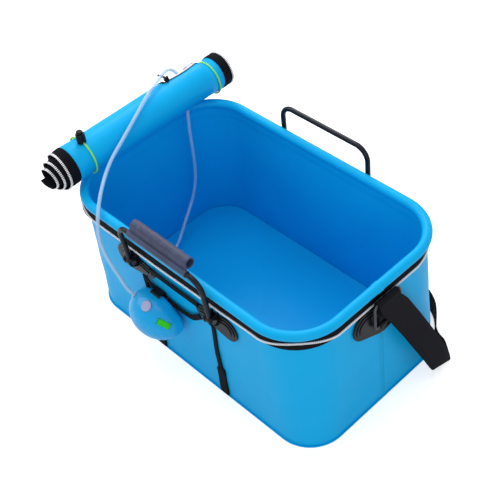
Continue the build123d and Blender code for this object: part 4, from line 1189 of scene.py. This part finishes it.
def elastic_tie(name, place, grip, replaced):
    """A round elastic loop; grip is how far it follows the roll's waist."""
    spots = tie_loop()
    along_roll = Vector((0, 1, 0))
    size, drop = 1 - (1 - waist(place)) * grip, rear_at(place)[1]
    rows = []
    for number, (sideways, up) in enumerate(spots):
        after, before = spots[(number + 1) % len(spots)], spots[number - 1]
        along = Vector((after[0] - before[0], 0, after[1] - before[1])).normalized()
        centre = Vector((roll_x + sideways * size, place, roll_z + up * size - drop))
        out = along.cross(along_roll)
        turns = [2 * math.pi * step / 12 for step in range(12)]
        ring = [out * math.cos(turn) + along_roll * math.sin(turn) for turn in turns]
        rows.append([centre + way * tie_round / 2 for way in ring])
    grid(name, rows, lime_elastic, replaced, ring=True, loop=True)


elastic_tie("elastic_front", tie_front, 0.8, "tie_cord_front")
elastic_tie("elastic_rear", tie_rear, 1.0, "tie_cord_rear")
print("two elastic ties")

# %% [markdown]
# ## Leather grip
#
# A strip of leather is wrapped round the front bail and its long edge is rolled up into a soft
# handle. Two tubes side by side would miss the neck between them. The leather is one sheet, so
# it is one ribbon: round the bar and once more round in a looser roll, with creases across it
# where hands have squeezed it.

# %% Leather grip
pivot_y, pivot_z = -165.0, 196.0
bail_lean, bail_height = math.radians(4.0), 77.0
bar_y = pivot_y - bail_height * math.sin(bail_lean)
bar_z = pivot_z + bail_height * math.cos(bail_lean)
bar_round, roll_round = 4.5, 7.45
roll_in, roll_up = 10.4, 11.2
grip_half, grip_steps = 62.0, 74

bar_turns = [math.radians(angle) for angle in range(18, -291, -14)]
grip_spots = [(bar_round * math.cos(turn), bar_round * math.sin(turn)) for turn in bar_turns]
for step in range(32):
    turn = math.radians(140 - 14 * step)
    reach = roll_round - 0.055 * max(step - 24, 0) ** 1.25
    grip_spots.append((roll_in + reach * math.cos(turn), roll_up + reach * math.sin(turn)))

grip_rows = []
for step in range(grip_steps + 1):
    x = -grip_half + 2 * grip_half * step / grip_steps
    drawn_in = 1 - 0.05 * (abs(x) / grip_half) ** 8
    row = []
    for number, (inward, up) in enumerate(grip_spots):
        if number < len(bar_turns):
            row.append(Vector((x, bar_y + inward, bar_z + up)))
            continue
        near = Vector((x, inward, up)) / 9
        crease = 0.9 * noise.noise(near) + 0.45 * noise.noise(near * 2.6)
        away = Vector((inward - roll_in, up - roll_up)).normalized() * crease * 0.6
        row.append(Vector((x * drawn_in, bar_y + inward + away.x, bar_z + up + away.y)))
    grip_rows.append(row)
leather = grid("leather_grip", grip_rows, grip_leather, "grip_wrap", "front_bail_body")
solid = leather.modifiers.new("thickness", "SOLIDIFY")
solid.thickness = 1.7 * mm
solid.offset = 0.0
print("grip", 2 * grip_half, "mm long")

# %% [markdown]
# ## Webbing on the walls
#
# Four load straps run from the brackets down to the base, each ending in a wider sewn tab. A
# narrow strap hangs between the front brackets and carries the pump. A flat ribbon thickened
# afterwards would have sharp edges, so each strap is a rounded outline swept along its line, and
# it lies on the wall because it asks the wall's own function for its place.

# %% Strap helpers
def run_at(points, i):
    """Direction of a line of points at one of them."""
    return (points[min(i + 1, len(points) - 1)] - points[max(i - 1, 0)]).normalized()


def webbing_section(width, thick):
    """Closed outline of a strap as (across, out): flat faces and rounded selvedges."""
    half, deep = width / 2, thick / 2
    edge = min(deep, 1.2)
    flat = [(half * share, deep * full) for share, full in ((-0.5, 0.96), (0, 0.94), (0.5, 0.96))]
    top = [(edge - half, deep), *flat, (half - edge, deep)]
    side = [(half - edge * 0.3, deep * 0.7), (half, 0), (half - edge * 0.3, -deep * 0.7)]
    return [(across * turn, out * turn) for turn in (1, -1) for across, out in top + side]


def capped(rows):
    """Rows of closed outlines with both ends drawn in to a point."""
    ends = []
    for row in (rows[0], rows[-1]):
        middle = sum(row, Vector((0, 0, 0))) / len(row)
        ends.append([[middle.lerp(point, share) for point in row] for share in (0.0, 0.9)])
    return [*ends[0], *rows, *reversed(ends[1])]


def strap(name, line, widths, thicks, replaced, body="tub", slanted=False):
    """Webbing along (centre, width direction) samples in mm. A slanted one keeps its directions."""
    rows = []
    centres = [centre for centre, _ in line]
    for i, (centre, wide) in enumerate(line):
        along = run_at(centres, i)
        if not slanted:
            wide = wide - along * wide.dot(along)
        wide = wide.normalized()
        out = wide.cross(along).normalized()
        rows.append([centre + wide * a + out * b for a, b in webbing_section(widths[i], thicks[i])])
    return grid(name, capped(rows), black_webbing, replaced, body, ring=True)


print("strap ready")

# %% Load straps
load_line = [
    # x, height, width, thickness
    (76.5, 163, 8.5, 2.6),
    (76.0, 147, 8.5, 2.6),
    (74.5, 128, 8.6, 2.6),
    (73.2, 110, 8.8, 2.6),
    (72.8, 94, 9.2, 2.6),
    (73.4, 80, 8.9, 2.7),
    (74.0, 69, 9.6, 2.8),
    (74.5, 64.5, 14.5, 3.4),
    (74.8, 60, 17.2, 3.8),
    (74.4, 44, 16.6, 3.8),
    (73.6, 24, 17.4, 3.8),
    (73.1, 8, 17.6, 3.8),
    (73, 3.6, 16.8, 3.6),
]


def wall_strap(name, line, side, mirror_x, replaced):
    """A strap on the long wall, in front (side -1) or behind, through stations like load_line's."""
    stations = [((x, height, 0), (wide, thick, 0)) for x, height, wide, thick in line]
    samples = through(stations, 7)
    middles = [spot for spot, _ in samples]
    turned = -1 if side * mirror_x > 0 else 1
    spots = []
    for i, (spot, size) in enumerate(samples):
        run = run_at(middles, i)
        out = wall_size(spot.y)[0][1] + size.y / 2 + 0.1
        across = Vector((-run.y * mirror_x, 0, run.x)) * turned
        spots.append((Vector((spot.x * mirror_x, side * out, spot.y)), across))
    widths, thicks = zip(*(size[:2] for _, size in samples))
    strap(name, spots, widths, thicks, replaced)


for end, side in (("front", -1), ("rear", 1)):
    for hand, mirror_x in (("right", 1), ("left", -1)):
        place = end + "_" + hand
        wall_strap("web_" + place, load_line, side, mirror_x, "load_strap_" + place)
print("four load straps")

# %% Hanger strap of the pump
hanger_runs = {
    # x and height along each run
    "web_hanger": [
        (-70, 166), (-58, 158), (-47, 152.3), (-34, 149), (-20, 147.9), (3, 147.6), (20, 148.6),
        (33, 151.6), (44, 160), (54, 169),
    ],
    "web_hanger_upper": [
        (-52.4, 192.6), (-34, 192.2), (-10, 191.8), (14, 191.9), (36, 192.3), (52.4, 192.6),
    ],
}
hanger_back, hanger_high, hanger_thick = 156.35, 10.0, 2.1
hanger_y = -hanger_back - hanger_thick / 2
for name, run_line in hanger_runs.items():
    samples = through([((x, hanger_y, height),) for x, height in run_line], 8)
    centres = [centre for (centre,) in samples]
    runs = [run_at(centres, i) for i in range(len(centres))]
    line = [(centre, Vector((-run.z, 0, run.x))) for centre, run in zip(centres, runs)]
    widths, thicks = [hanger_high] * len(line), [hanger_thick] * len(line)
    strap(name, line, widths, thicks, "hanger_strap")
print("hanger strap in two runs")

# %% [markdown]
# ## The shoulder strap
#
# A wide strap is sewn round the bar of each end ring. It hangs to the floor, turns on its edge
# and runs round behind the tub to the other ring. It would be easy to make it in short plates,
# but real webbing turns smoothly. So it is one ribbon through stations that give its middle and
# the direction of its width.

# %% Shoulder strap
strap_wide, strap_thick = 42.0, 2.4
stand = strap_wide / 2 + 0.3
across, upright_strap = (0, 1, 0), (0, 0, 1)
sewn_loop = [
    # over the ring's bar: tail inside, over the top, down the outside
    (264.7, 6, 192.0),
    (264.6, 6, 201.0),
    (260.4, 6, 210.0),
    (258.2, 6, 217.0),
    (257.9, 6, 222.6),
    (259.3, 6, 225.3),
    (262.0, 6, 226.2),
    (264.9, 6, 225.2),
    (266.2, 6, 222.4),
    (266.5, 7, 216.0),
]
hanging = [
    # slanting down to a fold on the floor, where the strap turns on its edge
    ((267.2, 11, 207.0), (0, 0.97, 0.24)),
    ((267.9, 16.5, 197.5), (0, 0.94, 0.34)),
    ((269.0, 23, 186.5), (0, 0.92, 0.39)),
    ((270.6, 30, 171.5), (0, 0.92, 0.39)),
    ((274, 44, 141.5), (0, 0.92, 0.39)),
    ((279.5, 61, 102.3), (0, 0.92, 0.39)),
    ((284, 76.4, 67), (0, 0.92, 0.38)),
    ((287, 89, 36), (0, 0.95, 0.25)),
    ((287.9, 94.5, 22), (0, 1.0, 0.02)),
    ((287.4, 98.2, 10.9), (0, 1.02, -0.33)),
    ((285.2, 98.6, 11.3), (0, 1.02, -0.3)),
    ((282.5, 100, 17), (0, 1.0, 0.0)),
    ((277, 105, 24), (-0.1, 0.75, 0.65)),
    ((268, 112, 26), (-0.1, 0.35, 0.92)),
    ((258, 121.5, 23), (0, 0.1, 1)),
]
standing = [(247, 133), (233, 152), (214, 171), (187, 184), (150, 188), (75, 188), (0, 188)]
strap_stations = [
    *((spot, across) for spot in sewn_loop),
    *hanging,
    *(((x, y, stand), upright_strap) for x, y in standing),
]


def shoulder_half(hand, side):
    """One half of the shoulder strap, from its ring down to the floor and on to the middle behind
    the tub.
    """
    line = []
    for centre, wide in through(strap_stations, 7):
        middle = Vector((centre.x * side, centre.y, centre.z))
        line.append((middle, Vector((wide.x, wide.y * side, wide.z * side))))
    widths, thicks = [strap_wide * wide.length for _, wide in line], [strap_thick] * len(line)
    replaced = f"strap_end_{hand} shoulder_strap"
    half = strap(f"shoulder_strap_{hand}", line, widths, thicks, replaced, None, slanted=True)
    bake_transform(half)
    long = sum((after[0] - before[0]).length for before, after in zip(line, line[1:]))
    return long


strap_long = max(shoulder_half("right", 1), shoulder_half("left", -1))
print("each half of the strap is", round(strap_long), "mm long")
